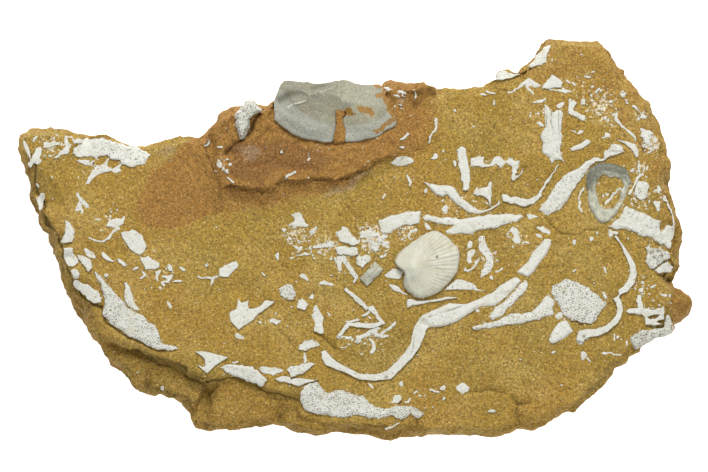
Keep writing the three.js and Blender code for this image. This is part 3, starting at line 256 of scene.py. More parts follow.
# How the fossils are carved. Wear is rounds of smoothing, raggedness of the outline and grit of the top.
RAGGED_WEAR, SMOOTH_WEAR, CHIP_WEAR = (2, 0.19, 0.09), (6, 0.06, 0.03), (1, 0.15, 0.05)
FAN_WEAR, GREY_WEAR, CRINOID_WEAR = (24, 0.06, 0.03), (8, 0.08, 0.04), (4, 0.09, 0.07)
WELD = 0.001  # points of a solid that are closer than this are one
JOIN_SWELL, JOIN_SHRINK = 0.34, 0.238  # how far two halves swell to grow together, and then shrink as one
FINE_FROM, CARVED_FROM = 0.25, 0.95  # how open a bryozoan is that has fine faces, and one with carved pores
TALLEST = 4  # a fossil is pressed as if it stood no higher than this
FOSSIL_LIFT = 0.12  # how far its top is then lifted
PORE_STRAY = 0.55  # in halves of the gap between pores
PORE_SEED_STEP = 7.7  # sets a pore's stray apart from its neighbour's
PIT_DEPTH = 0.2
NOTCH_FILL, NOTCH_WIDTH = 1.2, 1.8  # how the ribbed shell is built up at its notch
FAN_RING, FAN_RING_GAP = 0.51, 1.45  # growth rings, counted from the beak
GREY_COARSER = 1.1  # size of the large shell's faces beside those of the other fossils
GREY_STAINED = (22.4, 23)  # y from which the large shell is less stained, and from which it is clean
STEM_MIDDLE, STEM_SEAM, STEM_RING_GAP = 7.2, 0.62, 0.55  # the seams lie on both sides of the middle
LAYER_STRETCH = (0.3, 0.3, 1.5)  # draws the clouds on the stone's sides out into layers

# Chips and crumbs.
PLATE_THICKNESS, PLATE_RISE = 0.9, 0.15  # how thick a chip is, and how far it stands out of the stone
NARROWEST_STRIP, STRIP_NOSE = 0.34, 0.35  # the nose is a share of the strip's width
CRUMBLE_DROP = 0.5
CLEFT_THICKNESS, CLEFT_CELL, CLEFT_RAY_TOP = 1.6, 0.2, 60
CLEFT_REACH, LIP_DROP = 1.1, 0.12  # how far off the cleft's lips are felt for, and the fall to a millimetre
FULL_PATCH = 36  # crumbs in a patch that is all film of fossil between them
STRAY_CRUMBS, STRAY_SIZE = 260, 0.6  # crumbs anywhere on the face, and their size beside the others
STRAY_EAST, STRAY_NORTH = 57, 33  # how far from the middle they lie
CRUMB_CLEAR = 3  # cells between a crumb and the open air
CRUMB_LAYERS = ((1.0, -0.3), (1.0, 0.03), (0.75, 0.09))  # foot, edge and top: width and height

# For the arithmetic: a distance beyond every other, how far a line is felt, and a stand-in for zero.
FAR, LINE_REACH, TINY = 1e3, 6, 1e-6

# What the camera frames: width and height in picture elements, the slab's origin, and millimetres to one.
PICTURE_WIDTH, PICTURE_HEIGHT = 708, 472
ORIGIN_X, ORIGIN_Y = 354.5, 238.5
PICTURE_SCALE = 0.1775
SENSOR, LENS = 36, 360
# The stage, in metres.
FACE_HEIGHT = 0.018
FLOOR_SIZE, FLOOR_DROP = 6, 0.0002
KEY_SIZE, FILL_SIZE, FILL_PLACE = 0.34, 0.5, (0.25, -0.5, 0.5)

# How each porous bryozoan is carved: the way its rows of pores run in degrees, how open they are and how
# weathered it is.
LACE = {
    "long_bryozoan_leaf": (48, 0.6, 0.05),
    "bryozoan_leaf_head": (30, 0.6, 0.05),
    "tall_bryozoan_frond": (84, 0.3, 0.0),
    "oval_bryozoan_colony": (18, 1.0, 0.1),
    "white_bryozoan_block": (-22, 0.6, 0.05),
    "lower_right_bryozoan": (24, 1.0, 0.35),
    "bottom_bryozoan_branch": (-8, 1.0, 0.15),
    "west_bryozoan_leaf": (-50, 1.0, 0.1),
    "west_leaf_fork": (-64, 0.6, 0.1),
    "northwest_bryozoan_sheet": (-14, 0.8, 0.05),
    "bryozoan_stub": (78, 1.1, 0.3),
    "tapered_blade": (12, 0.8, 0.05),
    "lower_rod": (44, 0.5, 0.05),
    "speckled_colony": (10, 1.0, 0.3),
    "round_speckled_colony": (0, 1.0, 0.25),
    "porous_chip_east": (35, 0.9, 0.2),
    "southwest_branch": (-25, 0.6, 0.1),
    "leaf_chip_south": (-15, 0.9, 0.15),
    "flat_chip_south": (-10, 0.6, 0.1),
    "tongue_chip_south": (-20, 0.8, 0.1),
    "zigzag_bryozoan": (10, 0.35, 0.1),
    "lens_leaf_west": (20, 0.4, 0.1),
    "north_edge_knob": (10, 0.4, 0.2),
    "white_lobe": (40, 0.3, 0.05),
}
STANDING = ("bryozoan_stub",)
SMOOTH_SHELLS = (
    "small_smooth_shell", "hooked_shell", "curved_shell_edge", "arched_sliver", "crescent_under_ribbed_shell",
    "sinuous_blade_lower", "sinuous_blade_upper", "s_curve_upper", "s_curve_lower", "upper_rod",
)
FAN_BEAK = (8.5, -5.1)
FAN_NOTCH = (8.3, -5.6, 9.8, -5.3)
GREY_BEAK = (-1.5, 29.5)
# Folds of the large shell: depth (above zero, a fold with painted shade; below zero, a crest with a painted
# highlight), width, then the points that each follows.
GREY_LINES = (
    (0.5, 0.8, (-13.4, 24.4, -11.6, 25.4, -9.4, 25.8)),
    (-0.35, 0.22, (-11.8, 23.1, -11, 23.7, -10.2, 23.9, -8.8, 24.3)),
    (-0.16, 0.13, (-7.4, 25.3, -6.6, 25.9, -5.4, 26, -4.2, 26.6, -3.3, 27)),
    (-0.16, 0.13, (-9.6, 27, -9.3, 26.3, -8.6, 25.9, -8, 25.4, -6.9, 25.5)),
    (0.35, 0.5, (-7.4, 26.6, -5.6, 27)),
    (-0.16, 0.13, (-2.7, 26.3, -2.6, 25.2, -2.1, 24, -2.5, 23, -2.8, 22.3, -3, 20.8)),
    (-0.08, 0.12, (-6.4, 22.3, -6.3, 21.6, -6.6, 20.6)),
    (0.5, 0.4, (-2.5, 21, -2.6, 19.8, -2.9, 17.4)),
)

RING_DARK = (40.4, 7.4, 40.6, 12, 43, 14.2, 47, 14, 50, 11.5, 49.8, 8.6, 48.8, 8.4, 48.2, 10.6, 46.6, 11.2,
             44.4, 11.6, 43, 10.8, 42.4, 8.8)

# Where the stone is full of fossil crumbs: x, y, radius, how many.
CRUMBS = (
    (-53.4, 16.4, 2.6, 20), (-47, 12.2, 2.6, 10), (-44, 3, 3.4, 12), (-34.5, -6.4, 3, 10),
    (-23.4, 13, 1.6, 10), (-10.3, 0.8, 2.2, 24), (-9.4, -2, 1.9, 14), (-5, -1, 3.4, 16), (3, 0, 2.8, 44),
    (-1.8, -5.4, 2.6, 10), (3, -17.4, 3.6, 14), (28.6, 0.4, 1.9, 18), (23.4, -3.4, 2.2, 16),
    (9.4, 1.4, 2, 26), (43.8, 23.6, 3, 26), (40, 26.6, 3.4, 10), (51, 22.2, 1.7, 14), (52.6, 16.8, 1.7, 32),
    (50.6, 12, 1.7, 18), (45.4, 20.4, 1.7, 16), (33, 22, 2, 10), (45.6, 7.6, 1.7, 10), (54.6, 8.2, 2, 14),
    (50.6, -7.8, 2.2, 12), (37, 30, 4, 5), (8.2, 24.6, 1.8, 8), (-6, 16, 4, 5), (53.6, -12, 2.6, 12),
    (-14, -14, 4, 6), (12, -28.6, 5, 6), (20, 5.4, 5, 10), (51, 7, 2, 20),
)


# Chips and twigs: flat chips as outlines of x, y, and strips as x, y, width.
WEST_CHIPS = (
    (-51.3, 19.1, -50, 18.95, -49.6, 18.5, -48.9, 18.6, -48.2, 18.4, -48.4, 17.8, -49.4, 17.5, -50.3, 17.2,
     -51.2, 17.2, -51.6, 17.9),
    (-50.3, 17, -51, 16.9, -51.5, 16.2, -52.2, 15.5, -52.8, 14.9, -53.5, 14.2, -52.9, 14.2, -52.3, 14.7,
     -51.6, 14.9, -50.8, 15),
    (-49.6, 14.1, -48.5, 14, -47, 14, -46.2, 14.1, -45.9, 13.7, -46.4, 13.3, -46.3, 12.9, -46.8, 12.6,
     -47.6, 12.7, -48, 13.1, -48.8, 13.4, -49.2, 13.8),
    (-47.8, 9.6, -46.9, 9.6, -46.5, 10.5, -46, 11.1, -45.3, 11.4, -44.6, 11.8, -43.6, 11.9, -43.1, 12,
     -42.8, 11.7, -42.3, 11.6, -41.4, 12, -42, 12.3, -41.4, 13.1, -41.7, 13.2, -42.5, 12.5, -43.2, 12.5,
     -44, 12.7, -43.9, 13.4, -43.4, 14.4, -43.9, 14.2, -44.6, 13.4, -45.2, 13, -45.9, 13.2, -46.3, 12.5,
     -46.8, 11.6, -47.3, 10.6),
    (-55.2, 17, -54, 17.1, -52.8, 17.2, -52.4, 17, -52.6, 16.6, -53.6, 16.4, -54.3, 16.1, -55, 16),
    (-56.9, 17.1, -56.2, 18, -56.1, 18.4, -56.8, 18, -57.1, 17.3),
    (-58.2, 13, -57.2, 14.6, -56.6, 16, -55.7, 16.1, -55.4, 15.7, -56, 14.6, -56.2, 14.2, -55.6, 13.9,
     -55.7, 13.4, -56.4, 13.1, -57, 13.4, -57.5, 12.6, -58, 12.4),
    (-59.1, 17.6, -58.7, 17.3, -58.3, 16.5, -58.1, 15.6, -57.9, 14.7, -58, 14.1, -58.4, 14.9, -58.9, 16,
     -59.2, 17),
    (-57.4, 6.9, -56.9, 7.3, -56.6, 7.8, -56, 7.8, -55.8, 7.3, -55.8, 6.7, -56.1, 6.2, -56.1, 5.4, -56.3, 4.8,
     -56.7, 4.8, -56.9, 5.6),
    (-49, 8.4, -48.8, 8, -48.6, 7.5, -47.9, 7, -47.5, 6.2, -47.1, 5.7, -47.2, 5.3, -47.7, 5.4, -48.3, 5.9,
     -48.8, 6.6, -49.3, 7.2, -49.4, 7.8),
    (-49.1, 6.6, -48.7, 6.1, -48.3, 5.5, -47.9, 4.9, -48.1, 4.4, -48.8, 4.1, -49.5, 4.3, -50.1, 4.4,
     -49.8, 4.9, -49.4, 5.3),
    (-44.2, 2.2, -43.8, 2.8, -43.1, 3.3, -42.2, 3.5, -41.5, 3.4, -41.2, 4, -40.8, 4.1, -40.9, 3.3, -41, 2.6,
     -41.4, 2.4, -42.2, 2.1, -43, 2),
    (-46.9, 3.8, -46.4, 3.3, -45.8, 3.6, -44.6, 3.4, -45.3, 3.1, -46.3, 3.1),
    (-51.4, -1.8, -50.6, -1.6, -50, -1.8, -50, -2.6, -49.6, -3.2, -49.1, -3.7, -49.3, -4.6, -49.9, -5,
     -50.7, -4.8, -51.3, -4.3, -51.6, -3.4),
    (-50.3, -5.6, -49.7, -5.3, -49, -5.5, -48.9, -6.2, -49, -7, -49.5, -7.3, -50, -6.9),
    (-48.2, -1.9, -47.8, -1.6, -47.1, -2, -46.3, -2.5, -45.8, -3.2, -45.8, -3.6, -46.3, -3.7, -47.1, -3.4,
     -47.8, -2.8),
    (-45, -2.5, -44.5, -2.5, -43.8, -3, -43, -3.6, -42.5, -3.9, -43.1, -4, -44, -3.8, -44.7, -3.2),
    (-42.3, -3.5, -41.8, -3.5, -41, -4, -40.2, -4.6, -40.8, -4.9, -41.7, -4.4),
    (-39.6, -5.5, -39.2, -5.1, -38.4, -5, -38.1, -5.1, -38.8, -5.5, -39.2, -5.8),
    (-35.3, -5.7, -34.2, -5.7, -34.1, -6.3, -33.7, -6.6, -33, -6.6, -32.4, -6.4, -32.1, -6.6, -32.4, -7.1,
     -32.9, -7.7, -33.6, -7.8, -34.3, -7.8, -35, -7.6, -35.4, -7),
    (-37.9, -5.2, -37.5, -5.9, -37.1, -6.3, -37.2, -6.8, -37.8, -7.2, -38.3, -7.2, -37.6, -6.6),
    (-34.5, -8.1, -34, -8, -33.4, -8.2, -33.9, -8.5),
    (-33.3, -4.5, -32.8, -4.4, -32.3, -5.2, -32.1, -5.9, -33, -5.9, -33.2, -5.2),
    (-32.7, -7.9, -31.9, -7.5, -31, -7.4, -30.2, -7.5, -31.4, -7.9),
    (-31.3, -5, -30.6, -5.1, -29.9, -5.7, -30.5, -5.8),
    (-33.6, -11.1, -33, -11.1, -32.5, -11.6, -32.4, -12.6, -32.9, -12.3, -33.4, -11.7),
    (-28.3, -11.2, -27.6, -11.1, -27.1, -11.7, -26.6, -12.2, -26.2, -12.9, -26.9, -12.9, -27.4, -12.5,
     -27.4, -11.9),
    (-24.4, 14, -24, 13.9, -23.6, 13.3, -23.4, 12.7, -23.8, 12.4, -24.2, 12.6, -24.5, 13.1),
    (-23, 12.4, -22.1, 12.2, -22.4, 11.9, -22.2, 11.6, -22.6, 11.4),
    (-26.7, 17.8, -26.6, 18.4, -26.1, 18.2, -26.1, 17.5),
    (-25.8, -15.4, -25.4, -15.1, -24.8, -14.9, -24.3, -14.8, -24.2, -15.2, -24.9, -15.6),
    (-21.3, -17.1, -20.8, -16.8, -20.3, -16.9, -19.8, -17.4, -19.3, -17.7, -20.3, -17.9, -20.9, -17.6),
    (-34.5, -26.3, -34.1, -26.1, -33.8, -26.7, -34.1, -27, -34.5, -26.9),
    (-17.3, -14.8, -16.6, -14.5, -15.9, -14.3, -15, -14.3, -14, -14.5, -12.9, -14.5, -13.2, -15, -13.9, -15.3,
     -14.7, -15.1, -15.2, -15.4, -15.7, -15.8, -16.2, -15.6),
    (-16.9, -23.3, -16.6, -22.9, -16, -22.7, -15.3, -22.9, -14.2, -22.9, -13.2, -23, -12.5, -23.3,
     -12.8, -23.6, -13.8, -24, -14.5, -24.3, -15.1, -24.2, -15.8, -24.1, -16.4, -23.8),
)
WEST_STRIPS = (
    (-50, 3.1, 0.4, -49, 2.4, 0.5, -48.3, 1.2, 0.3, -47.3, 0.2, 0.3, -46.2, -0.4, 0.35, -45.3, -0.4, 0.3,
     -44.6, -0.6, 0.4, -43.6, 0.1, 0.5, -42.9, 1.1, 0.5, -42.3, 1.7, 0.5, -41.6, 1.9, 0.4),
    (-27.8, -6.7, 0.3, -27.2, -7.1, 0.4, -25.9, -7, 0.35, -24.9, -7, 0.5, -24.2, -6.7, 0.4),
    (-25.1, -7.4, 0.6, -25.5, -8.2, 0.3),
    (-22.5, 10.7, 0.25, -21.4, 9.9, 0.25),
    (-26.6, 16.4, 0.3, -25.9, 16.8, 0.4),
    (-24.3, 16.1, 0.3, -23.4, 16.3, 0.25),
    (-24.8, -13.5, 0.3, -24.1, -14.3, 0.4),
    (-21.7, -22, 0.2, -20.6, -21.8, 0.2),
    (-16.6, -6.1, 0.3, -16, -6.8, 0.3),
    (-15.6, -13.2, 0.3, -15.5, -13.8, 0.2),
    (-44.3, -6.6, 0.8, -43.9, -6.6, 0.8),
    (-56.5, 9.7, 0.4, -56.2, 9.2, 0.3),
    (-26.4, -4.8, 0.7, -26.1, -4.8, 0.7),
)
CENTRE_CHIPS = (
    (-11.2, 4.2, -10.6, 4.7, -9.8, 4.7, -9.3, 4.3, -9.2, 3.6, -8.6, 2.8, -8, 2.4, -8.2, 2, -8.9, 2, -9.8, 2,
     -10.4, 2, -10.7, 1.5, -10.3, 0.6, -10.1, -0.1, -10.2, -0.9, -9.6, -1, -8.4, -1, -8.2, -1.2, -8.9, -1.5,
     -8.9, -2.2, -8.2, -2.7, -7.7, -2.9, -8.4, -3.1, -9.6, -3.1, -10.1, -2.9, -10.3, -2.4, -10, -2,
     -10.6, -1.8, -10.9, -1.2, -11.3, -0.6, -11.2, 0.4, -11.3, 1.3, -11.6, 2.1, -11.9, 2.4, -11.3, 2.8,
     -10.6, 3, -10.5, 3.5),
    (-6.7, 2.3, -6.7, 1.6, -7, 1, -7.6, 0.6, -8, -0.1, -8.3, 0.4, -8.2, 1, -8, 1.4, -7.4, 1.7),
    (-12.9, 1.8, -12.4, 1.8, -11.9, 1.6, -12.1, 1.1, -12.6, 1.1),
    (-7.6, -1.6, -6.9, -1.1, -5.9, -0.9, -5.1, -0.5, -4, -0.4, -3.6, -0.6, -3.9, -1.5, -5.5, -1.6,
     -6.6, -1.8),
    (0.8, -1, 1.3, -0.3, 0.6, 0.5, 0.8, 1.4, 1.5, 2.1, 2.6, 2.2, 3.5, 1.8, 4.2, 0.9, 4.6, 0.4, 5.3, 0.8,
     6.6, 0.3, 6.6, -0.9, 6.2, -2, 5.4, -2.3, 4.4, -2, 3.6, -2.4, 3.2, -1.6, 3.3, -1, 2.4, -0.7, 1.6, -1.1),
    (4.3, -3.2, 4.8, -3, 5.4, -2.7, 5.9, -2.5, 5.7, -3, 5.1, -3.4, 4.6, -3.7),
    (0.3, -3.6, 0.8, -2.9, 1.5, -2.5, 2.2, -2.6, 2.7, -3, 2.9, -3.5, 2.7, -4.1, 2.2, -4.5, 1.7, -5, 1.3, -5.5,
     0.9, -5, 0.4, -4.5),
    (-14.1, -3, -13.7, -2.4, -13.4, -2.9, -13.4, -3.6, -13.7, -3.9),
    (-11.6, -3.2, -11.2, -2.9, -10.4, -2.8, -10.1, -3.1, -10.7, -3.5, -11.3, -3.7),
    (-9.8, -6.7, -9.3, -6.1, -8.7, -6.4, -8.4, -7.1, -8.3, -7.8, -8.9, -7.3, -9.5, -7),
    (-7.5, -9.6, -7.1, -10.1, -7.1, -10.8, -7.6, -10.9, -8.2, -10.7, -7.9, -10.2),
    (-6.4, -8.1, -6.1, -7.7, -5.4, -7.6, -4.8, -7.8, -4, -7.8, -3.7, -8.1, -3.9, -8.4, -4.8, -8.3,
     -5.6, -8.2),
    (-7.4, -12.3, -7, -11.8, -6.5, -12, -6.3, -12.7, -5.8, -13.3, -5.5, -14.2, -5.5, -15, -5.6, -16,
     -5.5, -16.9, -5.9, -17.1, -6.6, -16.8, -7.3, -16.4, -7.3, -15.7, -7, -14.9, -7.4, -14.2, -7.7, -13.5,
     -7.2, -13.2),
    (2.3, -25.7, 2.9, -25.8, 3.3, -26.1, 3.6, -26.7, 2.9, -26.4),
    (6, -29.2, 6.7, -29, 6.9, -28.4, 7.2, -27.9, 8, -27.6, 8.4, -28, 8.4, -28.6, 8, -29, 7.6, -29.3,
     6.9, -29.4),
    (7.8, -26, 8.2, -25.4, 8.6, -25.3, 8.7, -25.9, 8.5, -26.6, 8.2, -26.4),
    (15, -26.7, 15.4, -26.2, 15.9, -25.95, 16.2, -26.4, 16.1, -27, 15.7, -27.2, 15.3, -27),
    (15.5, -28.6, 15.6, -28.2, 16, -28, 16.2, -28.2, 15.7, -28.9),
    (17.9, -26.5, 18.4, -26, 18.9, -25.7, 19.3, -25.3, 19.7, -25.8, 20, -26.3, 20.4, -26.7, 20.2, -27.2,
     19.6, -27.3, 19.1, -27.7, 18.6, -27.2, 18.2, -27),
    (23.5, -30.8, 24, -30.45, 24.8, -30.35, 25.3, -30.7, 24.7, -30.95, 24, -31),
    (-13.3, 15, -12.8, 15.7, -12.5, 15.1),
    (5.3, -6.3, 6, -6, 6.8, -5.5, 7.7, -5.4, 8.2, -5.8, 8.9, -5.9, 8.5, -6.5, 8, -7.2, 7.2, -7.3, 6.4, -7.2,
     5.7, -6.8),
    (6, -8.1, 6.7, -8.2, 7.5, -8.3, 8, -8.6, 8.4, -9.2, 9, -9.7, 9.5, -10.2, 8.6, -9.9, 7.6, -9.5, 6.8, -9,
     6.2, -8.5),
    (9.3, 0.9, 9.9, 1.4, 10.8, 1.8, 11.2, 1.5, 10.8, 0.8, 10.3, 0.1, 9.8, -0.4, 9.5, 0.2),
    (12.3, 2.9, 12.9, 2.7, 13.2, 2.2, 13.6, 1.6, 12.9, 1.5, 12.5, 1.9),
    (16, -9.2, 16.6, -8.5, 17.2, -7.9, 17.8, -7.4, 18.6, -7.3, 19.9, -7.5, 20.7, -7.9, 21.3, -8.4, 21.7, -9,
     22.8, -9.2, 24.3, -9.3, 22.5, -9.4, 20.8, -9.2, 19, -9, 17.4, -9.1),
    (19.4, -1.4, 19.9, -1, 20.6, -0.4, 21.1, -0.6, 21.1, -1.2, 20.7, -1.7, 20, -1.9),
    (20.1, -2.4, 20.7, -2, 21.4, -2, 21.6, -2.6, 21.2, -3.2, 20.7, -3.4, 20.8, -3.9, 20.9, -4.4, 20.4, -4.5,
     20, -3.9, 20.1, -3.2),
    (21.9, 0.4, 22.5, 0.5, 23.1, 0.3, 23.3, -0.6, 23.7, -1.6, 24.3, -2.7, 24.6, -3.8, 24.6, -4.9, 24.3, -5.8,
     23.6, -6.3, 22.9, -6.6, 22.4, -7.1, 22.3, -6.5, 22.4, -5.7, 23, -5.3, 23.4, -4.6, 23.3, -3.9, 23.2, -3.2,
     22.5, -2.6, 22.1, -1.7, 22, -0.6),
    (23.8, -6.9, 24.2, -6.5, 24.6, -6.8, 24.5, -7.5, 24.1, -7.4),
    (26.8, 0.7, 27.4, 1.3, 28, 2, 28.6, 1.9, 29.2, 1.4, 29.3, 0.4, 29.6, -0.6, 29.2, -1, 28.5, -0.8, 28, -0.2,
     27.3, 0.2),
    (21.4, -12.7, 21.9, -12.3, 22.3, -12.6, 22.2, -13.1, 21.6, -13.1),
)
CENTRE_STRIPS = (
    (-3.5, -3.3, 0.4, -3.2, -4.4, 0.4),
    (-2.7, -3.2, 0.9, -2.7, -4.3, 0.8, -2.5, -5.7, 0.5),
    (-2, -3.2, 0.9, -1.3, -4.6, 0.9, -0.5, -5.9, 0.9, 0.3, -7.1, 0.7, -0.1, -7.9, 0.4),
    (-4.7, -13, 0.2, -4.2, -13.7, 0.3, -3.7, -14.3, 0.2),
    (2.3, -12.3, 0.6, 3.2, -12.4, 1, 3.8, -13.3, 0.8, 4.3, -14.3, 0.7, 4.9, -15, 0.9),
    (2.6, -13.1, 0.4, 1.9, -13.6, 0.4, 1.2, -13.6, 0.3),
    (-3.1, -17.5, 0.4, -1.9, -17.7, 0.6, -0.4, -17.6, 0.6, 1, -17.7, 0.6, 2.1, -17.2, 0.7, 3.2, -16.5, 0.9,
     4.2, -15.8, 0.7),
    (0.9, -14.4, 0.3, -0.2, -14.7, 0.5, -1.6, -14.8, 0.3),
    (7.2, -14.8, 0.4, 6.6, -15.6, 0.6, 5.5, -16.3, 0.6, 4.6, -17, 0.5, 3.6, -17.1, 0.6),
    (3.8, -17, 0.6, 4.9, -17.4, 0.7, 6, -17.3, 0.6),
    (2.6, -17.8, 0.4, 3.2, -18.3, 0.6, 3.5, -19.2, 0.6, 3.3, -19.9, 0.8, 2.8, -20.4, 0.5),
    (0, -18.5, 0.5, 0.8, -18.3, 0.8, 1.4, -18.3, 0.4),
    (-2.4, -19.2, 0.5, -1.6, -19.1, 0.6, -0.6, -18.9, 0.4),
    (-8.9, -20.4, 0.6, -8.7, -21.3, 0.6, -8.8, -22, 0.5),
    (5.5, -33.8, 0.3, 6.4, -33.6, 0.3, 7.9, -32.8, 0.3),
    (8.9, -29, 0.3, 9.7, -29.2, 0.5, 10, -28.5, 0.35),
    (13.3, -26.9, 0.3, 14.2, -27.15, 0.45, 15, -27.4, 0.3),
    (10.5, -27.5, 0.2, 11.1, -27.1, 0.3),
    (29.4, -21.5, 0.35, 29.7, -21.5, 0.35),
    (-12.3, 10.5, 0.35, -11.8, 11.2, 0.45, -10.3, 11.9, 0.4),
    (-8.8, 13.3, 0.4, -8.2, 13.9, 0.4, -7.8, 14.2, 0.3),
    (5.1, 7.1, 0.4, 5.4, 8, 0.3),
    (22, -3.8, 0.3, 21.6, -4.5, 0.3, 20.8, -5.4, 0.3, 20, -6, 0.25),
    (19.7, -5.2, 0.25, 19.6, -5.9, 0.25),
    (24.9, -5.9, 0.3, 26.4, -5.4, 0.25),
    (30.2, -0.6, 0.25, 31, -0.9, 0.3),
)
NORTH_CHIPS = (
    (5.1, 27.4, 6, 27.3, 6.8, 26.9, 7.6, 26.7, 8.6, 26.6, 9.3, 26.3, 9.2, 26, 8.4, 26.1, 7.6, 26.3, 6.9, 26.4,
     6.4, 26.2, 5.6, 26.8),
    (6.5, 25.9, 7.1, 25.9, 7.6, 25.6, 8.3, 25.1, 7.9, 25, 7.2, 25.2, 6.7, 25.5),
    (7.7, 16.1, 8.3, 16.4, 8.8, 16.3, 8.7, 15.9, 8.2, 15.9),
    (6.3, 13.4, 7.1, 14, 7.5, 14.5, 8.4, 14.6, 9.3, 14.6, 10, 14.2, 10.6, 13.8, 10.1, 13.5, 9.3, 13,
     8.4, 12.7, 7.7, 12.7, 7.2, 13.1),
    (13.4, 14, 13.9, 14.6, 14.2, 15.2, 14.7, 15, 14.8, 14.3, 14.4, 14),
    (15.2, 15.4, 15.9, 15.6, 16.2, 15.2, 16.2, 14.4, 16.5, 14.1, 16.1, 13.8, 15.6, 13.9, 15.5, 14.7),
    (17.4, 13.9, 17.9, 14, 18, 13.3, 17.9, 12.7, 17.5, 12.7),
    (12.2, 8.3, 12.5, 8.6, 12.9, 8.9, 13, 8.4, 12.6, 8),
    (15.5, 5.1, 15.9, 5.8, 16.4, 5.9, 16.9, 5.4, 16.6, 5, 16.4, 4.3, 16, 4.3, 15.8, 4.7),
    (29, 27.1, 30.2, 28, 31, 28.6, 31.8, 28.1, 33.2, 27.1, 32.2, 26.8, 31.3, 26.9, 30.6, 27.1, 30, 27.2,
     29.4, 26.9),
    (31.2, 24.1, 32, 24.3, 33, 24.7, 33.9, 25, 33.9, 24.5, 33.2, 24.1, 32.2, 24),
    (32.2, 20.7, 32.8, 20.8, 33.3, 20.4, 33.7, 20, 33.4, 19.7, 32.8, 19.9),
    (35.8, 23.6, 36.4, 24.2, 37.2, 24.3, 37.2, 23.7, 36.6, 23.2, 36, 23.1),
    (40.2, 24.2, 40.4, 24.8, 41, 24.8, 41, 23.7, 40.5, 23.8, 40.2, 23.5),
    (47.2, 26.3, 47.8, 26.4, 48.4, 25.8, 48.7, 25, 48.8, 24.5, 48.6, 23.9, 48.2, 23.7, 48.1, 24.3, 47.7, 24.9,
     47.1, 25.6),
    (49.5, 23.4, 50, 23.8, 50.5, 23.5, 50.7, 23, 51.1, 22.5, 51.5, 22.1, 52, 22, 52.2, 21.6, 51.9, 21.4,
     51.4, 21.5, 50.7, 21.3, 51.2, 21.9, 50.9, 22.4, 50.5, 22.9, 50.1, 23.1),
    (38.1, 19.3, 39, 19.2, 40, 19.3, 40.8, 19.1, 40.4, 18.6, 39.6, 18.6, 39, 18.9),
    (43, 18.8, 43.5, 19.1, 44, 19.3, 44.4, 19.1, 45, 18.9, 45.3, 18.5, 45.5, 18.1, 45.2, 17.9, 44.5, 17.85,
     43.9, 17.9, 43.6, 18.2, 43.2, 18.5),
    (42.9, 26, 43.2, 26.7, 43.8, 26.9, 43.6, 26.3, 43.2, 25.8, 43.1, 25.3),
)
NORTH_STRIPS = (
    (10.5, 26.4, 0.3, 10.9, 25.9, 0.35, 11, 25.4, 0.35, 10.7, 24.8, 0.3),
    (14.5, 21.4, 0.6, 14.5, 20.4, 0.6, 14.6, 19.6, 0.4, 13.9, 18.9, 0.3, 13.3, 17.9, 0.25, 13.1, 17, 0.2),
    (8.2, 17.5, 0.5, 8.9, 18, 0.6, 9.5, 18.6, 0.5),
    (23.2, 26.3, 0.25, 24.2, 25.95, 0.4, 24.8, 25.8, 0.3),
    (22.4, 25.7, 0.25, 23.4, 25.4, 0.25),
    (24.9, 24.6, 0.3, 24.7, 24.1, 0.35, 24.6, 23.7, 0.4),
    (9.4, 11.2, 0.2, 9.8, 10.6, 0.4, 9.9, 9.9, 0.4, 9.9, 9.3, 0.2),
    (27.3, 25.9, 0.5, 28, 25.9, 0.4, 28.9, 26.6, 0.4, 29.8, 27.1, 0.35),
    (30.4, 26.9, 0.4, 31.2, 26.2, 0.45, 31.9, 25.6, 0.2),
    (34.6, 26.5, 0.35, 35.6, 26.35, 0.3, 36.4, 26.2, 0.3, 37.6, 25.8, 0.35),
    (36.9, 26.6, 0.25, 37.6, 26.2, 0.4, 38.4, 26, 0.25),
    (46.6, 22.4, 0.3, 46.3, 21.8, 0.7, 46.4, 21, 0.6, 47, 20.4, 0.4, 47.6, 19.8, 0.35, 48.4, 19.2, 0.45,
     49.2, 18.6, 0.5, 49.8, 17.9, 0.35, 49.9, 17.4, 0.25),
    (41.6, 19.2, 0.3, 42.4, 19.7, 0.4, 43.2, 19.4, 0.3),
    (42.1, 29.5, 0.3, 42.7, 29.7, 0.3),
    (41.2, 28.5, 0.25, 41.9, 28.7, 0.25),
    (37.6, 28.2, 0.25, 38.2, 27.8, 0.25),
    (38.6, 27.7, 0.25, 39.2, 27.1, 0.25),
    (17.8, 22.7, 0.6, 18, 22.7, 0.6),
    (21.1, 19.9, 0.4, 21.3, 19.9, 0.4),
    (40, 32.6, 0.4, 40.2, 32.6, 0.4),
)
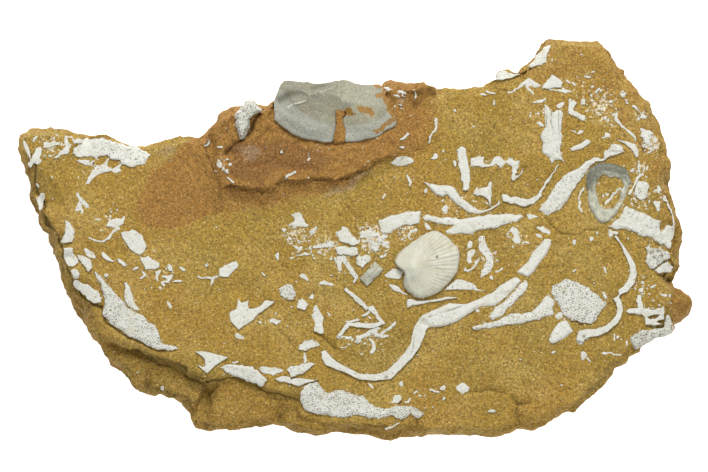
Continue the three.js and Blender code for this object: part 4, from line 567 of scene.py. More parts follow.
EAST_CHIPS = (
    (30.6, 4.4, 31.1, 4.6, 31.6, 4.3, 32.4, 4.1, 33, 4, 33.4, 3.85, 32.8, 3.7, 32, 3.7, 31.4, 3.5, 30.9, 3.4,
     30.7, 3.9),
    (31.9, 2.3, 32.4, 2.5, 33.1, 2.55, 33.6, 2.5, 33.7, 2.1, 34.1, 1.7, 34.7, 1.3, 35.2, 0.95, 35.7, 0.7,
     36, 0.2, 36.3, -0.3, 35.9, -0.4, 35.4, 0, 34.9, 0.3, 34.2, 0.7, 33.6, 0.9, 33, 1.2, 32.5, 1.6,
     32.1, 1.9),
    (32, 0.9, 32.6, 0.9, 33.2, 0.5, 33.4, 0.2, 32.9, 0.1, 32.3, 0.4),
    (43.9, -9.3, 44.3, -9.6, 44.6, -10.1, 44.9, -10.5, 44.6, -10.9, 44.2, -10.7, 44, -10.2),
    (35.6, -13.6, 36.1, -13.1, 36.7, -13.1, 37, -13.5, 37, -14, 36.6, -14.3, 36, -14.4, 35.6, -14.1),
    (42, -16.4, 41, -16.1, 40, -16.2, 39.4, -17, 39.3, -18.1, 39.9, -18.9, 40.6, -18.8, 40.9, -18.1,
     41.7, -17.7),
    (45, 1.7, 45.5, 1.6, 46.2, 1.35, 46.8, 1.2, 47, 1, 46.5, 0.6, 46, 0.9, 45.8, 0.4, 45.4, 0.2, 45.1, 0.5,
     45, 1),
    (50.2, -8, 50.8, -7.9, 51.4, -7.8, 51.7, -8.2, 51.5, -8.8, 51.3, -9.3, 51, -9.7, 50.5, -9.6, 50, -9.2,
     49.4, -9, 49.6, -8.7),
    (52.3, -8.9, 52.9, -8.8, 53.5, -8.6, 53.9, -8.3, 53.5, -8.2, 52.9, -8.4, 52.4, -8.6),
    (53.9, -10, 54.8, -9.95, 55.8, -9.9, 56.3, -10, 56.1, -10.4, 55.5, -10.5, 54.9, -10.5, 54.3, -10.2),
    (51.7, 19.9, 52.2, 20, 52.8, 19.7, 53.4, 19.4, 53.8, 19, 54.3, 18.5, 54.8, 18, 54.9, 17.5, 54.4, 17.7,
     53.7, 17.8, 53, 17.9, 52.4, 18.2, 51.9, 18.3, 51.7, 18.7, 52, 19.2, 51.6, 19.6),
    (51.1, 17, 51.4, 17.5, 51.9, 17.9, 52.4, 17.9, 52.6, 17.3, 53.2, 17.2, 53.7, 17, 53.6, 16.5, 53.8, 16,
     54, 15.7, 53.5, 15.7, 53, 16.2, 52.5, 16.5, 52.1, 16, 51.6, 16.2, 51.3, 16.6),
    (54.4, 9.8, 54.9, 9.9, 55.2, 9.5, 55.5, 8.9, 55.7, 8.2, 56.2, 7.8, 56.4, 7.2, 56.5, 6.8, 55.9, 6.9,
     55.4, 7.1, 55.1, 7.5, 54.8, 8, 54.2, 8.3, 53.8, 8.6, 54.2, 9.1),
    (53, 6.7, 53.7, 6.6, 54.3, 6.5, 54.4, 6.1, 54.1, 5.6, 54.2, 5, 53.9, 4.5, 53.5, 4.8, 53.4, 5.4,
     53.1, 5.9),
    (34.5, -20.2, 35.1, -20, 35.7, -20.1, 35.6, -20.4, 35.1, -20.5),
    (40.2, -20.8, 40.4, -20.2, 40.6, -20, 41, -20.1, 41.3, -20.7, 41.1, -21.3, 40.9, -21.7, 40.4, -21.7,
     40.1, -21.2),
)
EAST_STRIPS = (
    (42, 0, 0.9, 42.2, 0, 0.9),
    (42.9, 1, 0.6, 43.1, 1, 0.6),
    (38.9, -0.7, 0.9, 39.1, -0.7, 0.9),
    (32.2, 10.4, 0.35, 32.4, 10.4, 0.35),
    (39.4, -5.4, 0.2, 38.8, -5.9, 0.2),
    (44.2, -5, 0.2, 44.7, -6.3, 0.25),
    (50.5, 13.4, 0.35, 50.4, 12.6, 0.4, 50.7, 11.8, 0.3),
    (50.9, 11.4, 0.35, 50.3, 10.8, 0.5, 50, 10.3, 0.4),
    (51.9, 12.9, 0.25, 51.9, 12.1, 0.25),
    (50, 10.2, 0.4, 49.6, 9.2, 0.4, 49.2, 8.4, 0.5, 48.7, 7.7, 0.5),
    (56.3, 6.4, 0.2, 56.9, 5.2, 0.25, 57.3, 3.8, 0.3, 57.6, 2.9, 0.3, 57.2, 2.1, 0.2),
    (40.8, 9, 0.35, 40.3, 8.3, 0.4, 40, 7.5, 0.35, 39.85, 6.9, 0.3),
    (40, 6.5, 0.5, 39.9, 5.8, 0.5, 40.2, 5, 0.5, 40.6, 4.6, 0.3),
    (47.4, 9, 0.2, 46.6, 8.4, 0.4, 45.8, 7.6, 0.5, 45.2, 6.8, 0.5, 44.5, 5.9, 0.4),
    (41.4, -21.3, 0.2, 41.9, -21.9, 0.25),
    (44.5, -20.8, 0.2, 45.9, -20.7, 0.35, 46.5, -21, 0.25, 47.5, -21.1, 0.35, 47.9, -21.3, 0.2),
    (46.7, -17.4, 0.8, 46.9, -17.4, 0.8),
    (46, -17, 0.3, 46, -18, 0.3),
    (48.3, -18.3, 0.3, 48.3, -19.2, 0.4),
)
CHIP_GROUPS = {
    "west": (WEST_CHIPS, WEST_STRIPS),
    "centre": (CENTRE_CHIPS, CENTRE_STRIPS),
    "north": (NORTH_CHIPS, NORTH_STRIPS),
    "east": (EAST_CHIPS, EAST_STRIPS),
}
SHELL_CLEFT = (-1.6, 16.9, -1.7, 18, -1.6, 19.3, -2.1, 20.8, -2, 21.5, -1.6, 21.9, -1.9, 22.8, -3.2, 22.8,
               -3.4, 19.6, -4, 16.9)
STONE_ON_SHELL = (
    (-1.9, 22.8, -0.6, 22.8, 0.1, 22.2, -0.9, 21.8, -1.8, 21.9),
    (5.2, 26.4, 6, 24.4, 7, 22.2, 7.4, 20.8, 6.8, 20.8, 5.9, 22.6, 5.1, 24.6),
    (3, 27.3, 4.4, 27.2, 4.6, 26.6, 3.6, 26.7),
    (0.4, 23.3, 1.4, 23.1, 2.4, 23.3, 2.9, 23, 2.8, 22.5, 3.2, 22, 2.8, 21.7, 2.2, 22.2, 1.2, 22.4,
     0.6, 22.7),
    (3.2, 19.2, 4, 19.6, 5, 20.1, 5.8, 20.6, 6.3, 21, 6.7, 20.7, 6.2, 20.2, 5.4, 19.7, 4.6, 19.2, 3.8, 18.9),
    (3.8, 25.4, 4.2, 25.9, 4.8, 25.9, 4.9, 25.2, 4.5, 24.8, 4, 24.9),
)


# ------------------------------------------------------------------ mesh work

def ease(low, high, value):
    """0 below low, 1 above high and a soft step between."""
    t = np.clip((value - low) / (high - low), 0, 1)
    return t * t * (3 - 2 * t)


def bell(distance, width):
    """1 where there is no distance, and next to nothing past twice the width."""
    return np.exp(-((distance / width) ** 2))


def in_pairs(flat):
    return np.array(flat, float).reshape(-1, 2)


def in_triples(flat):
    return np.array(flat, float).reshape(-1, 3)


def apart(flat, x, y):
    """How far each point lies from one place, seen from above."""
    return np.hypot(flat[:, 0] - x, flat[:, 1] - y)


def speckle(points, size, seed):
    """Smooth noise from -1 to 1 at points of two or three coordinates, with features of the given size."""
    if points.shape[1] == 2:
        points = np.c_[points, np.zeros(len(points))]
    spot = points / size + seed * 17.31
    cell = np.floor(spot).astype(np.int64)
    part = spot - cell
    part = part * part * (3 - 2 * part)
    total = np.zeros(len(points))
    for step in np.ndindex(2, 2, 2):
        # Each corner of the cell has a value of its own, mixed from its three whole coordinates.
        key = (cell + step) @ np.array([374761393, 668265263, 2147483629]) & 0x7FFFFFFF
        key = (key ^ (key >> 13)) * 1274126177 & 0x7FFFFFFF
        value = ((key ^ (key >> 16)) & 0xFFFF) / 32767.5 - 1
        total += value * np.prod(np.where(step, part, 1 - part), axis=1)
    return total


def wobble(flat, size, seed):
    """A smooth random shift, east and north, at each point."""
    return np.c_[speckle(flat, size, seed), speckle(flat, size, seed + 1)]


def off_line(points, line):
    """How far each point lies from a line through several points, or just FAR where that is a long way."""
    line = in_pairs(line)
    best = np.full(len(points), FAR)
    near = np.all((points > line.min(0) - LINE_REACH) & (points < line.max(0) + LINE_REACH), axis=1)
    here = points[near]
    found = np.full(len(here), FAR)
    for start, end in zip(line[:-1], line[1:]):
        run = end - start
        t = np.clip((here - start) @ run / (run @ run), 0, 1)
        found = np.minimum(found, np.linalg.norm(here - start - t[:, None] * run, axis=1))
    best[near] = found
    return best


def inward(points, outline):
    """How deep each point lies inside an outline, below zero outside it."""
    outline = in_pairs(outline)
    inside = np.zeros(len(points), bool)
    for start, end in zip(outline, np.roll(outline, -1, axis=0)):
        across = (start[1] > points[:, 1]) != (end[1] > points[:, 1])
        rise = end[1] - start[1] or TINY
        inside ^= across & (points[:, 0] < (end[0] - start[0]) * (points[:, 1] - start[1]) / rise + start[0])
    far = off_line(points, np.vstack([outline, outline[:1]]))
    return np.where(inside, far, -far)


def within(points, outline, low, high):
    """0 where a point lies less than low inside an outline, 1 where it lies deeper than high."""
    return ease(low, high, inward(points, outline))


def strip_outline(strip):
    """The outline of a strip given as x, y, width, with a short nose at each end."""
    middle, width = strip[:, :2], np.maximum(strip[:, 2:], NARROWEST_STRIP)
    run = np.gradient(middle, axis=0)
    run /= np.linalg.norm(run, axis=1)[:, None]
    side = np.c_[-run[:, 1], run[:, 0]] * width / 2
    nose = run * width * STRIP_NOSE
    return np.vstack([middle + side, middle[-1:] + nose[-1:], (middle - side)[::-1], middle[:1] - nose[:1]])


def chip_outlines(chips, strips):
    return [in_pairs(chip) for chip in chips] + [strip_outline(in_triples(strip)) for strip in strips]


def only(piece):
    bpy.ops.object.select_all(action="DESELECT")
    piece.select_set(True)
    bpy.context.view_layer.objects.active = piece


def vectors_of(things, key):
    """One vector of each of a mesh's points or faces, as rows."""
    flat = np.empty(len(things) * 3)
    things.foreach_get(key, flat)
    return flat.reshape(-1, 3)


def points_of(piece):
    return vectors_of(piece.data.vertices, "co")


def normals_of(piece):
    return vectors_of(piece.data.vertex_normals, "vector")


def put_points(piece, points):
    piece.data.vertices.foreach_set("co", points.ravel())
    piece.data.update()


def swell(piece, reach):
    """Moves a piece's skin out along its normals."""
    put_points(piece, points_of(piece) + normals_of(piece) * reach)


def mark(piece, **values):
    """Stores values from 0 to 1 at each point under their names, for the finish to read."""
    for name, value in values.items():
        layer = piece.data.attributes.new(name, "FLOAT", "POINT")
        everywhere = np.broadcast_to(value, len(piece.data.vertices))
        layer.data.foreach_set("value", np.clip(everywhere, 0, 1).astype(np.float32))


def new_piece(name, mesh):
    piece = bpy.data.objects.new(name, mesh)
    bpy.context.scene.collection.objects.link(piece)
    return piece


def from_faces(name, points, faces):
    mesh = bpy.data.meshes.new(name)
    mesh.from_pydata(points, [], faces)
    return new_piece(name, mesh)


def copy_of(node):
    """A welded copy of a solid, in millimetres."""
    mesh = frame["nodes"][node].data.copy()
    mesh.transform(Matrix.Scale(MM, 4))
    piece = new_piece(node + "_detail", mesh)
    only(piece)
    bpy.ops.object.mode_set(mode="EDIT")
    bpy.ops.mesh.select_all(action="SELECT")
    bpy.ops.mesh.remove_doubles(threshold=WELD)
    bpy.ops.object.mode_set(mode="OBJECT")
    return piece


def join(piece, others):
    """Joins other meshes into a piece."""
    only(piece)
    for other in others:
        other.select_set(True)
    bpy.ops.object.join()


def apply_modifier(piece, kind, **settings):
    only(piece)
    bpy.ops.object.modifier_add(type=kind)
    modifier = piece.modifiers[-1]
    for key, value in settings.items():
        setattr(modifier, key, value)
    bpy.ops.object.modifier_apply(modifier=modifier.name)


def even_out(piece, cell, rounds):
    """Gives a piece even faces of one size and softens it a little."""
    apply_modifier(piece, "REMESH", mode="VOXEL", voxel_size=cell, adaptivity=0)
    if rounds:
        apply_modifier(piece, "SMOOTH", factor=0.5, iterations=rounds)


def split(piece, which):
    """Halves the faces of a piece that are chosen by their middles and how far they face up."""
    faces = piece.data.polygons
    chosen = which(vectors_of(faces, "center"), vectors_of(faces, "normal")[:, 2])
    only(piece)
    bpy.context.tool_settings.mesh_select_mode = (False, False, True)
    bpy.ops.object.mode_set(mode="EDIT")
    bpy.ops.mesh.select_all(action="DESELECT")
    bpy.ops.object.mode_set(mode="OBJECT")
    piece.data.polygons.foreach_set("select", chosen)
    bpy.ops.object.mode_set(mode="EDIT")
    bpy.ops.mesh.subdivide(number_cuts=1)
    bpy.ops.object.mode_set(mode="OBJECT")


def near_cracks(flat):
    """Which points lie in a crack or beside it."""
    near = np.zeros(len(flat), bool)
    for _, width, line in CRACKS:
        near |= off_line(flat, line) < width + CRACK_SIDE
    return near


def tree_of(nodes):
    """The faces of some solids, in millimetres, for rays to be dropped on."""
    points, faces = [], []
    for node in nodes:
        mesh = frame["nodes"][node].data
        first = len(points)
        points += [v.co * MM for v in mesh.vertices]
        faces += [[first + i for i in face.vertices] for face in mesh.polygons]
    return BVHTree.FromPolygons(points, faces)


def settle(piece, slot, *nodes):
    """Takes a finished piece from millimetres to metres, paints it, hangs it on the root body and hides the
    parts that it stands for.
    """
    piece.data.transform(Matrix.Scale(1 / MM, 4))
    piece.data.materials.clear()
    piece.data.materials.append(finish_of(slot))
    only(piece)
    bpy.ops.object.shade_smooth()
    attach(piece, "root")
    if nodes:
        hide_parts(*nodes)


class BareFace:
    """The height of the stone with its fossils taken away, on a grid over the whole slab."""

    def __init__(self, cell):
        low, high = (Vector(corner) * MM for corner in CAD_BOX)
        self.cell, self.start = cell, np.array([low.x - GRID_MARGIN, low.y - GRID_MARGIN])
        self.across = int((high.x - low.x + 2 * GRID_MARGIN) / cell) + 1
        self.up = int((high.y - low.y + 2 * GRID_MARGIN) / cell) + 1
        height, lid = self.felt(high.z + RAY_START)
        fossils = ~np.isnan(lid)
        covered = self.spread(fossils, COVER_CELLS)
        self.open_air = np.isnan(height) & ~covered
        self.crowding = self.blurred(fossils.astype(float), CROWD_ROUNDS)
        self.airing = self.blurred(self.open_air.astype(float), AIR_ROUNDS)
        height[covered] = np.nan
        worn, rubbed = self.worn()
        worn += self.filled(height)
        self.height = worn + rubbed * (self.blurred(worn, RUBBED_ROUNDS) - worn)
        # The brow carries the face on level past the rim, so that a chip there doesn't hang down the side.
        steep = np.hypot(*np.gradient(self.height, cell)) > BRINK_SLOPE
        brink = self.spread(self.open_air, int(BROW_REACH / cell)) & steep
        self.brow = self.filled(np.where(brink | np.isnan(height), np.nan, self.height))
        # Stone is banked up against the fossils on the brow, to a little below their pressed tops.
        pressed_top = (self.filled(lid) + self.height) / 2 - BANK_CLEAR
        self.bank = ease(*CLOSE, self.crowding) * self.banked(np.minimum(self.brow, pressed_top))
        self.chips = {region: [self.kept_on(outline) for outline in chip_outlines(*group)]
                      for region, group in CHIP_GROUPS.items()}
        chipped = ease(*CLOSE, self.blurred(self.under_chips(), CROWD_ROUNDS))
        self.bank = np.maximum(self.bank, chipped * self.banked(self.brow))

    def felt(self, above):
        """Drops a ray on each cell: the height of stone that no fossil covers, and the fossils' height."""
        stone, fossils, down = tree_of([STONE]), tree_of(FOSSILS), Vector((0, 0, -1))
        height, lid = np.full((2, self.up, self.across), np.nan)
        for j, i in np.ndindex(self.up, self.across):
            eye = Vector((self.start[0] + i * self.cell, self.start[1] + j * self.cell, above))
            for tree, grid in ((fossils, lid), (stone, height)):
                hit = tree.ray_cast(eye, down)[0]
                if hit is not None:
                    grid[j, i] = hit.z
                    break
        return height, lid

    def banked(self, ceiling):
        """How much stone can be banked up below a ceiling."""
        return np.clip(ceiling - self.height, 0, BANKED)

    def under_chips(self):
        """1 in each cell that lies under a chip or close beside it, 0 elsewhere."""
        under = np.zeros((self.up, self.across))
        for outline in (outline for group in self.chips.values() for outline in group):
            low = np.maximum(((outline.min(0) - self.start) / self.cell).astype(int), 0)
            high = ((outline.max(0) - self.start) / self.cell).astype(int) + 2
            high = np.minimum(high, (self.across, self.up))
            i, j = np.mgrid[low[0]:high[0], low[1]:high[1]].reshape(2, -1)
            near = inward(self.start + self.cell * np.c_[i, j], outline) > -CHIP_SIDE
            under[j[near], i[near]] = 1
        return under

    def kept_on(self, outline):
        """Moves a chip's outline in from the slab's edge, a step at a time, until it is clear of open air."""
        for _ in range(NUDGES):
            air = self.at(outline, self.airing)
            if air.max() < RIM_AIR:
                break
            way = np.array(self.rises(outline[[air.argmax()]], self.airing))[:, 0]
            outline = outline - NUDGE * way / max(np.hypot(*way), TINY)
        return outline

    def worn(self):
        """What wear and rubble add to the ledge and its foot, and where its edge is rubbed smooth."""
        x, y = np.meshgrid(self.start[0] + self.cell * np.arange(self.across),
                           self.start[1] + self.cell * np.arange(self.up))
        flat = np.c_[x.ravel(), y.ravel()]
        flat += 0.5 * wobble(flat, 1.6, 61)
        deep = inward(flat, LEDGE).reshape(x.shape)
        worn = np.maximum(EAST_WEAR * ease(*EAST_END, x),
                          WEST_WEAR * (1 - ease(*WEST_END, x)) * (1 - ease(*WEST_END_TOP, y)))
        rubble = TALUS * (1 - ease(0, TALUS_REACH, -deep)) * (deep < 0) * (1 - worn / EAST_WEAR)
        ends = np.maximum(ease(6, 9, x) * (1 - ease(26, 28, y)),
                          (1 - ease(-24.5, -22, x)) * (1 - ease(15, 18, y)))
        return rubble - worn * ease(-0.6, 0.4, deep), ends * (1 - ease(1, 2, np.abs(deep)))

    @staticmethod
    def spread(cells, rounds):
        """The true cells of a grid, with as many rows of cells round them as there are rounds."""
        cells = cells.copy()
        for _ in range(rounds):
            cells[1:-1, 1:-1] |= cells[2:, 1:-1] | cells[:-2, 1:-1] | cells[1:-1, 2:] | cells[1:-1, :-2]
        return cells

    @staticmethod
    def blurred(grid, rounds):
        """Makes every cell the mean of its neighbours, round after round."""
        for _ in range(rounds):
            wide = np.pad(grid, 1, mode="edge")
            grid = (wide[2:, 1:-1] + wide[:-2, 1:-1] + wide[1:-1, 2:] + wide[1:-1, :-2]) / 4
        return grid

    def filled(self, height):
        """Smooths the known heights into the unknown ones."""
        fixed = ~np.isnan(height)
        known = np.where(fixed, height, np.nanmean(height))
        for _ in range(FILL_ROUNDS):
            known = np.where(fixed, height, self.blurred(known, 1))
        return known

    def crowd(self, points):
        """Near 1 close to a fossil, 0 out on the open stone."""
        return self.at(points, self.crowding)

    def rim(self, points):
        """Near 1 at the slab's outer edge, clear of its fossils."""
        return ease(0.1, 0.3, self.at(points, self.airing)) * (1 - ease(0.02, 0.2, self.crowd(points)))

    def level(self, points):
        """The height that chips are bedded on."""
        return self.at(points, self.brow)

    def at(self, points, grid=None):
        """A grid's value at each point, between its cells; without a grid, the height of the bare face."""
        spot = (points[:, :2] - self.start) / self.cell
        i = np.clip(np.floor(spot[:, 0]).astype(int), 0, self.across - 2)
        j = np.clip(np.floor(spot[:, 1]).astype(int), 0, self.up - 2)
        u, v = np.clip(spot[:, 0] - i, 0, 1), np.clip(spot[:, 1] - j, 0, 1)
        h = self.height if grid is None else grid
        south, north = (h[row, i] * (1 - u) + h[row, i + 1] * u for row in (j, j + 1))
        return south * (1 - v) + north * v

    def rises(self, points, grid=None):
        """How much a grid rises eastward, and how much northward, over the two cells round each point."""
        flat, steps = points[:, :2], ([self.cell, 0], [0, self.cell])
        return [self.at(flat + step, grid) - self.at(flat - step, grid) for step in steps]

    def slope(self, points):
        return np.hypot(*self.rises(points)) / (2 * self.cell)


@cache
def bare_face():
    return BareFace(bpy.context.scene.fossil_stone.fine_cell * MM)


def face_relief(flat):
    """What weather and breaking add to the face's height at each point, and the shade painted into cracks and
    deep dimples.
    """
    settings = bpy.context.scene.fossil_stone
    height = np.zeros(len(flat))
    for seed, (rise, size) in enumerate(FACE_LUMPS, 1):
        height += rise * settings.grain * MM * speckle(flat, size, seed)
    wander = wobble(flat, 1.4, 5) * 0.16
    on_ledge = within(flat, LEDGE, -0.4, 1.2) * (1 - 0.8 * ease(6, 12, flat[:, 0]))
    height += on_ledge * (0.7 * np.abs(speckle(flat, 3.8, 7)) + 0.5 * np.abs(speckle(flat, 1.7, 8)) - 0.35)
    broken = np.maximum(within(flat, WEST_FALL, -0.5, 1), within(flat, SHELVES, -0.5, 1))
    height += broken * (0.3 * np.abs(speckle(flat, 2.6, 19)) - 0.35 * np.abs(speckle(flat, 1.2, 18)))
    height -= WEST_DROP * within(flat + 2 * wander, WEST_FALL, -0.3, 1.1)
    shade = np.zeros(len(flat))
    for depth, width, line in CRACKS:
        away = off_line(flat + wander, line) * (1 + 0.4 * speckle(flat, 1.9, 9))
        height -= settings.crack_depth * depth * bell(away, width)
        # The painted shade in the crack.
        shade = np.maximum(shade, min(1, 1.3 * depth) * bell(away, 0.4 * width + 0.05))
    for x, y, radius, rise in DIMPLES:
        away = apart(flat, x, y)
        height += rise * bell(away, radius)
        # A deep dimple gets painted shade inside.
        if rise < SHADED_DIMPLE:
            shade = np.maximum(shade, 0.6 * bell(away, 0.6 * radius))
    return height, shade


# ------------------------------------------------------------------ finishes

class Wire:
    """A shader socket that adds Math nodes when it is used in a sum."""

    def __init__(self, finish, socket):
        self.finish, self.socket = finish, socket

    def math(self, operation, first, second):
        node = self.finish.node("ShaderNodeMath", {"operation": operation}, {0: first, 1: second})
        return Wire(self.finish, node.outputs[0])

    def __add__(self, other):
        return self.math("ADD", self, other)

    __radd__ = __add__

    def __sub__(self, other):
        return self.math("SUBTRACT", self, other)

    def __rsub__(self, other):
        return self.math("SUBTRACT", other, self)

    def __mul__(self, other):
        return self.math("MULTIPLY", self, other)

    __rmul__ = __mul__

    def between(self, low, high):
        """0 below low, 1 above high and a soft step between."""
        node = self.finish.node(
            "ShaderNodeMapRange", {"interpolation_type": "SMOOTHSTEP"},
            {"Value": self, "From Min": low, "From Max": high},
        )
        return Wire(self.finish, node.outputs["Result"])

    def ragged(self, clouds, amount, low, high):
        """The step from low to high, with clouds that break up its edge."""
        return (self + (clouds - 0.5) * amount).between(low, high)


class Finish:
    """A material in the making: its shader and the nodes behind it."""

    def __init__(self, name, **constants):
        self.material = bpy.data.materials.new(name)
        self.material.use_nodes = True
        self.tree = self.material.node_tree
        self.tree.nodes.clear()
        self.shader = self.node("ShaderNodeBsdfPrincipled", {}, constants)
        self.node("ShaderNodeOutputMaterial", {}, {"Surface": self.shader.outputs["BSDF"]})
        self.place = self.node("ShaderNodeTexCoord").outputs["Object"]

    def node(self, kind, settings=None, inputs=None):
        """Any node: its type, its settings, then the values or links of its sockets."""
        node = self.tree.nodes.new(kind)
        for key, value in (settings or {}).items():
            setattr(node, key, value)
        for key, value in (inputs or {}).items():
            self.feed(node.inputs[key], value)
        return node

    def feed(self, socket, value):
        """Links a socket to a node, or sets its value."""
        if isinstance(value, Wire):
            value = value.socket
        if isinstance(value, bpy.types.NodeSocket):
            self.tree.links.new(value, socket)
        elif socket.type == "RGBA" and len(value) == 3:
            socket.default_value = (*value, 1)
        else:
            socket.default_value = value

    def surface(self, paint, roughness, height, millimetres):
        """Feeds the shader its colour, its roughness and a bump of the given size."""
        self.feed(self.shader.inputs["Base Color"], paint)
        self.feed(self.shader.inputs["Roughness"], roughness)
        bump = self.node("ShaderNodeBump", {}, {"Height": height, "Distance": millimetres / MM})
        self.feed(self.shader.inputs["Normal"], bump.outputs["Normal"])

    def stored(self, *names):
        """The values that mark() stored at the piece's points under these names."""
        nodes = [self.node("ShaderNodeAttribute", {"attribute_name": name, "attribute_type": "GEOMETRY"})
                 for name in names]
        return [Wire(self, node.outputs["Fac"]) for node in nodes]

    def vector(self, operation, vector):
        """The place on the piece, moved or stretched by a vector."""
        node = self.node("ShaderNodeVectorMath", {"operation": operation}, {0: self.place, 1: vector})
        return node.outputs[0]

    def shifted(self, metres):
        """The place on the piece, moved so that a pattern doesn't repeat another's."""
        return self.vector("ADD", (metres, metres, metres)) if metres else self.place

    def clouds(self, millimetres, detail=2.0, roughness=0.5, place=None, shift=0.0):
        """Noise around a half, with features of the given size."""
        inputs = {"Vector": place or self.shifted(shift), "Scale": MM / millimetres, "Detail": detail,
                  "Roughness": roughness}
        return Wire(self, self.node("ShaderNodeTexNoise", {}, inputs).outputs["Fac"])

    def grains(self, millimetres, shift=0.0):
        """Grains side by side: how far off a grain's middle is, and a number that is each grain's own."""
        inputs = {"Vector": self.shifted(shift), "Scale": MM / millimetres}
        node = self.node("ShaderNodeTexVoronoi", {}, inputs)
        apart = self.node("ShaderNodeSeparateColor", {}, {"Color": node.outputs["Color"]})
        return Wire(self, node.outputs["Distance"]), Wire(self, apart.outputs["Red"])

    def flecks(self, millimetres, chosen, edge, shift):
        """Some of the grains: those whose own number is high, each with a soft edge between two radii."""
        middle, own = self.grains(millimetres, shift)
        return own.between(*chosen) * (1 - middle.between(*edge))

    def mix(self, under, over, factor):
        """Lays one colour over another."""
        node = self.node("ShaderNodeMix", {"data_type": "RGBA"}, {0: factor, 6: under, 7: over})
        return node.outputs[2]

    def dim(self, paint, factor):
        """Multiplies a colour by a number that varies over the surface."""
        node = self.node("ShaderNodeVectorMath", {"operation": "SCALE"}, {0: paint, "Scale": factor})
        return node.outputs[0]


def stone_finish():
    colours = bpy.context.scene.fossil_stone
    f = Finish("ochre_siltstone", **{"Specular IOR Level": 0.25})
    brown, deep, knob, side, shade, grey, low, film = f.stored(
        "brown", "deep", "knob", "side", "shade", "grey", "low", "film"
    )
    broad, blotch, fine = f.clouds(9, 3), f.clouds(2.2, 3, shift=0.31), f.clouds(0.42, 4, 0.7)
    drift = f.clouds(19, 3, 0.6, shift=1.7)
    layers = f.clouds(2.4, 4, 0.68, place=f.vector("MULTIPLY", LAYER_STRETCH))
    paint = f.mix(colours.ochre, colours.ochre_pale, broad.between(0.42, 0.66))
    paint = f.mix(paint, colours.olive, drift.between(0.48, 0.66) * 0.3)
    paint = f.mix(paint, colours.rust, (1 - drift).between(0.5, 0.66) * 0.2)
    # Darker ochre clouds, and painted shade on the low shelves.
    paint = f.mix(paint, colours.ochre_deep_and_shelf_shade, (blotch.between(0.5, 0.72) * 0.5 + low * 0.6).between(0, 1))
    paint = f.mix(paint, colours.brown, brown.ragged(blotch, 0.7, 0.15, 0.85))
    paint = f.mix(paint, colours.brown_deep, deep.ragged(broad, 0.8, 0.25, 0.85) * 0.75)
    paint = f.mix(paint, colours.rust, (side * 0.6 + knob * 0.9).ragged(blotch, 0.9, 0.2, 0.9) * 0.62)
    paint = f.mix(paint, colours.ochre_deep_and_shelf_shade, layers.between(0.5, 0.6) * side * 0.75)
    paint = f.mix(paint, colours.grain_dark, layers.between(0.62, 0.7) * side * 0.5)
    paint = f.mix(paint, colours.stain_grey, grey.ragged(fine, 1.3, 0.35, 0.95) * 0.5)
    middle, own = f.grains(0.26)
    dark_grain = own.between(0.76, 0.84) * (1 - middle.between(0.2, 0.5))
    paint = f.mix(paint, colours.grain_dark, dark_grain * 0.78)
    pale_grain = f.flecks(0.24, (0.78, 0.86), (0.2, 0.5), shift=0.173)
    paint = f.mix(paint, colours.grain_pale, pale_grain * (1 - brown * 0.5) * 0.72)
    olive = f.clouds(0.6, 3, 0.7, shift=0.9).between(0.53, 0.68)
    paint = f.mix(paint, colours.olive, olive * (1 - brown) * 0.5)
    paint = f.mix(paint, colours.rust, f.clouds(0.9, 2, shift=0.77).between(0.6, 0.72) * 0.5)
    # Painted shade of tiny pits, which are not carved.
    paint = f.mix(paint, colours.grain_dark, f.flecks(1.2, (0.8, 0.86), (0.08, 0.2), shift=0.87) * 0.6)
    paint = f.mix(paint, colours.speck, f.flecks(1.5, (0.9, 0.93), (0.04, 0.1), shift=0.511) * 0.7)
    crushed = (f.clouds(0.62, 4, 0.72, shift=0.23) + film * 0.2).between(0.62, 0.7) * film.between(0.05, 0.3)
    paint = f.mix(paint, colours.speck, crushed * 0.65)
    paint = f.dim(paint, 1 - knob * 0.1)
    paint = f.dim(paint, fine * 2.7 - 0.375)
    # Painted shade in the cracks, in the deep dimples and in the seams of the sides.
    paint = f.dim(paint, 1 - (shade + (fine - 0.5) * 0.9 * shade).between(0.1, 0.8) * 0.6)
    height = f.clouds(0.85, 3, 0.65) * 0.9 + fine * 0.8 + f.clouds(0.26, 2, shift=0.4) * 0.55 - middle * 0.35
    f.surface(paint, 0.86 + (fine - 0.5) * 0.2, height - layers * side * 2.2, 0.2)
    return f.material


def bryozoan_finish():
    colours = bpy.context.scene.fossil_shells
    f = Finish("bryozoan_lime", **{"Specular IOR Level": 0.3})
    pore, stain, age, porous = f.stored("pore", "stain", "age", "porous")
    blotch, fine = f.clouds(1.3, 3, 0.6), f.clouds(0.3, 3, 0.6)
    paint = f.mix(colours.white, colours.cream, blotch.between(0.45, 0.7) * 0.7)
    paint = f.mix(paint, colours.weathered, age.ragged(blotch, 0.7, 0.05, 0.75) * 0.75)
    crumbs = f.flecks(0.55, (0.86, 0.9), (0.18, 0.4), shift=0.2)
    paint = f.mix(paint, colours.stain, crumbs * 0.5)
    paint = f.mix(paint, colours.stain, stain.ragged(f.clouds(0.7, 4, 0.68, shift=0.6), 1.7, 0.5, 0.9) * 0.8)
    # Painted shade in fine holes, and in the pores, pits and furrows.
    hole = f.flecks(0.42, (0.2, 0.4), (0.14, 0.34), shift=0.61) * porous
    paint = f.mix(paint, colours.pore, hole * 0.62)
    paint = f.mix(paint, colours.pore, pore.between(0.08, 0.75) * 0.64)
    paint = f.dim(paint, 0.88 + (fine - 0.5) * 0.5)
    height = fine * 1.1 + f.clouds(0.8, 2, shift=0.9) * 0.8 - crumbs * 0.4 - hole
    f.surface(paint, 0.72 + (blotch - 0.5) * 0.3, height, 0.17)
    return f.material


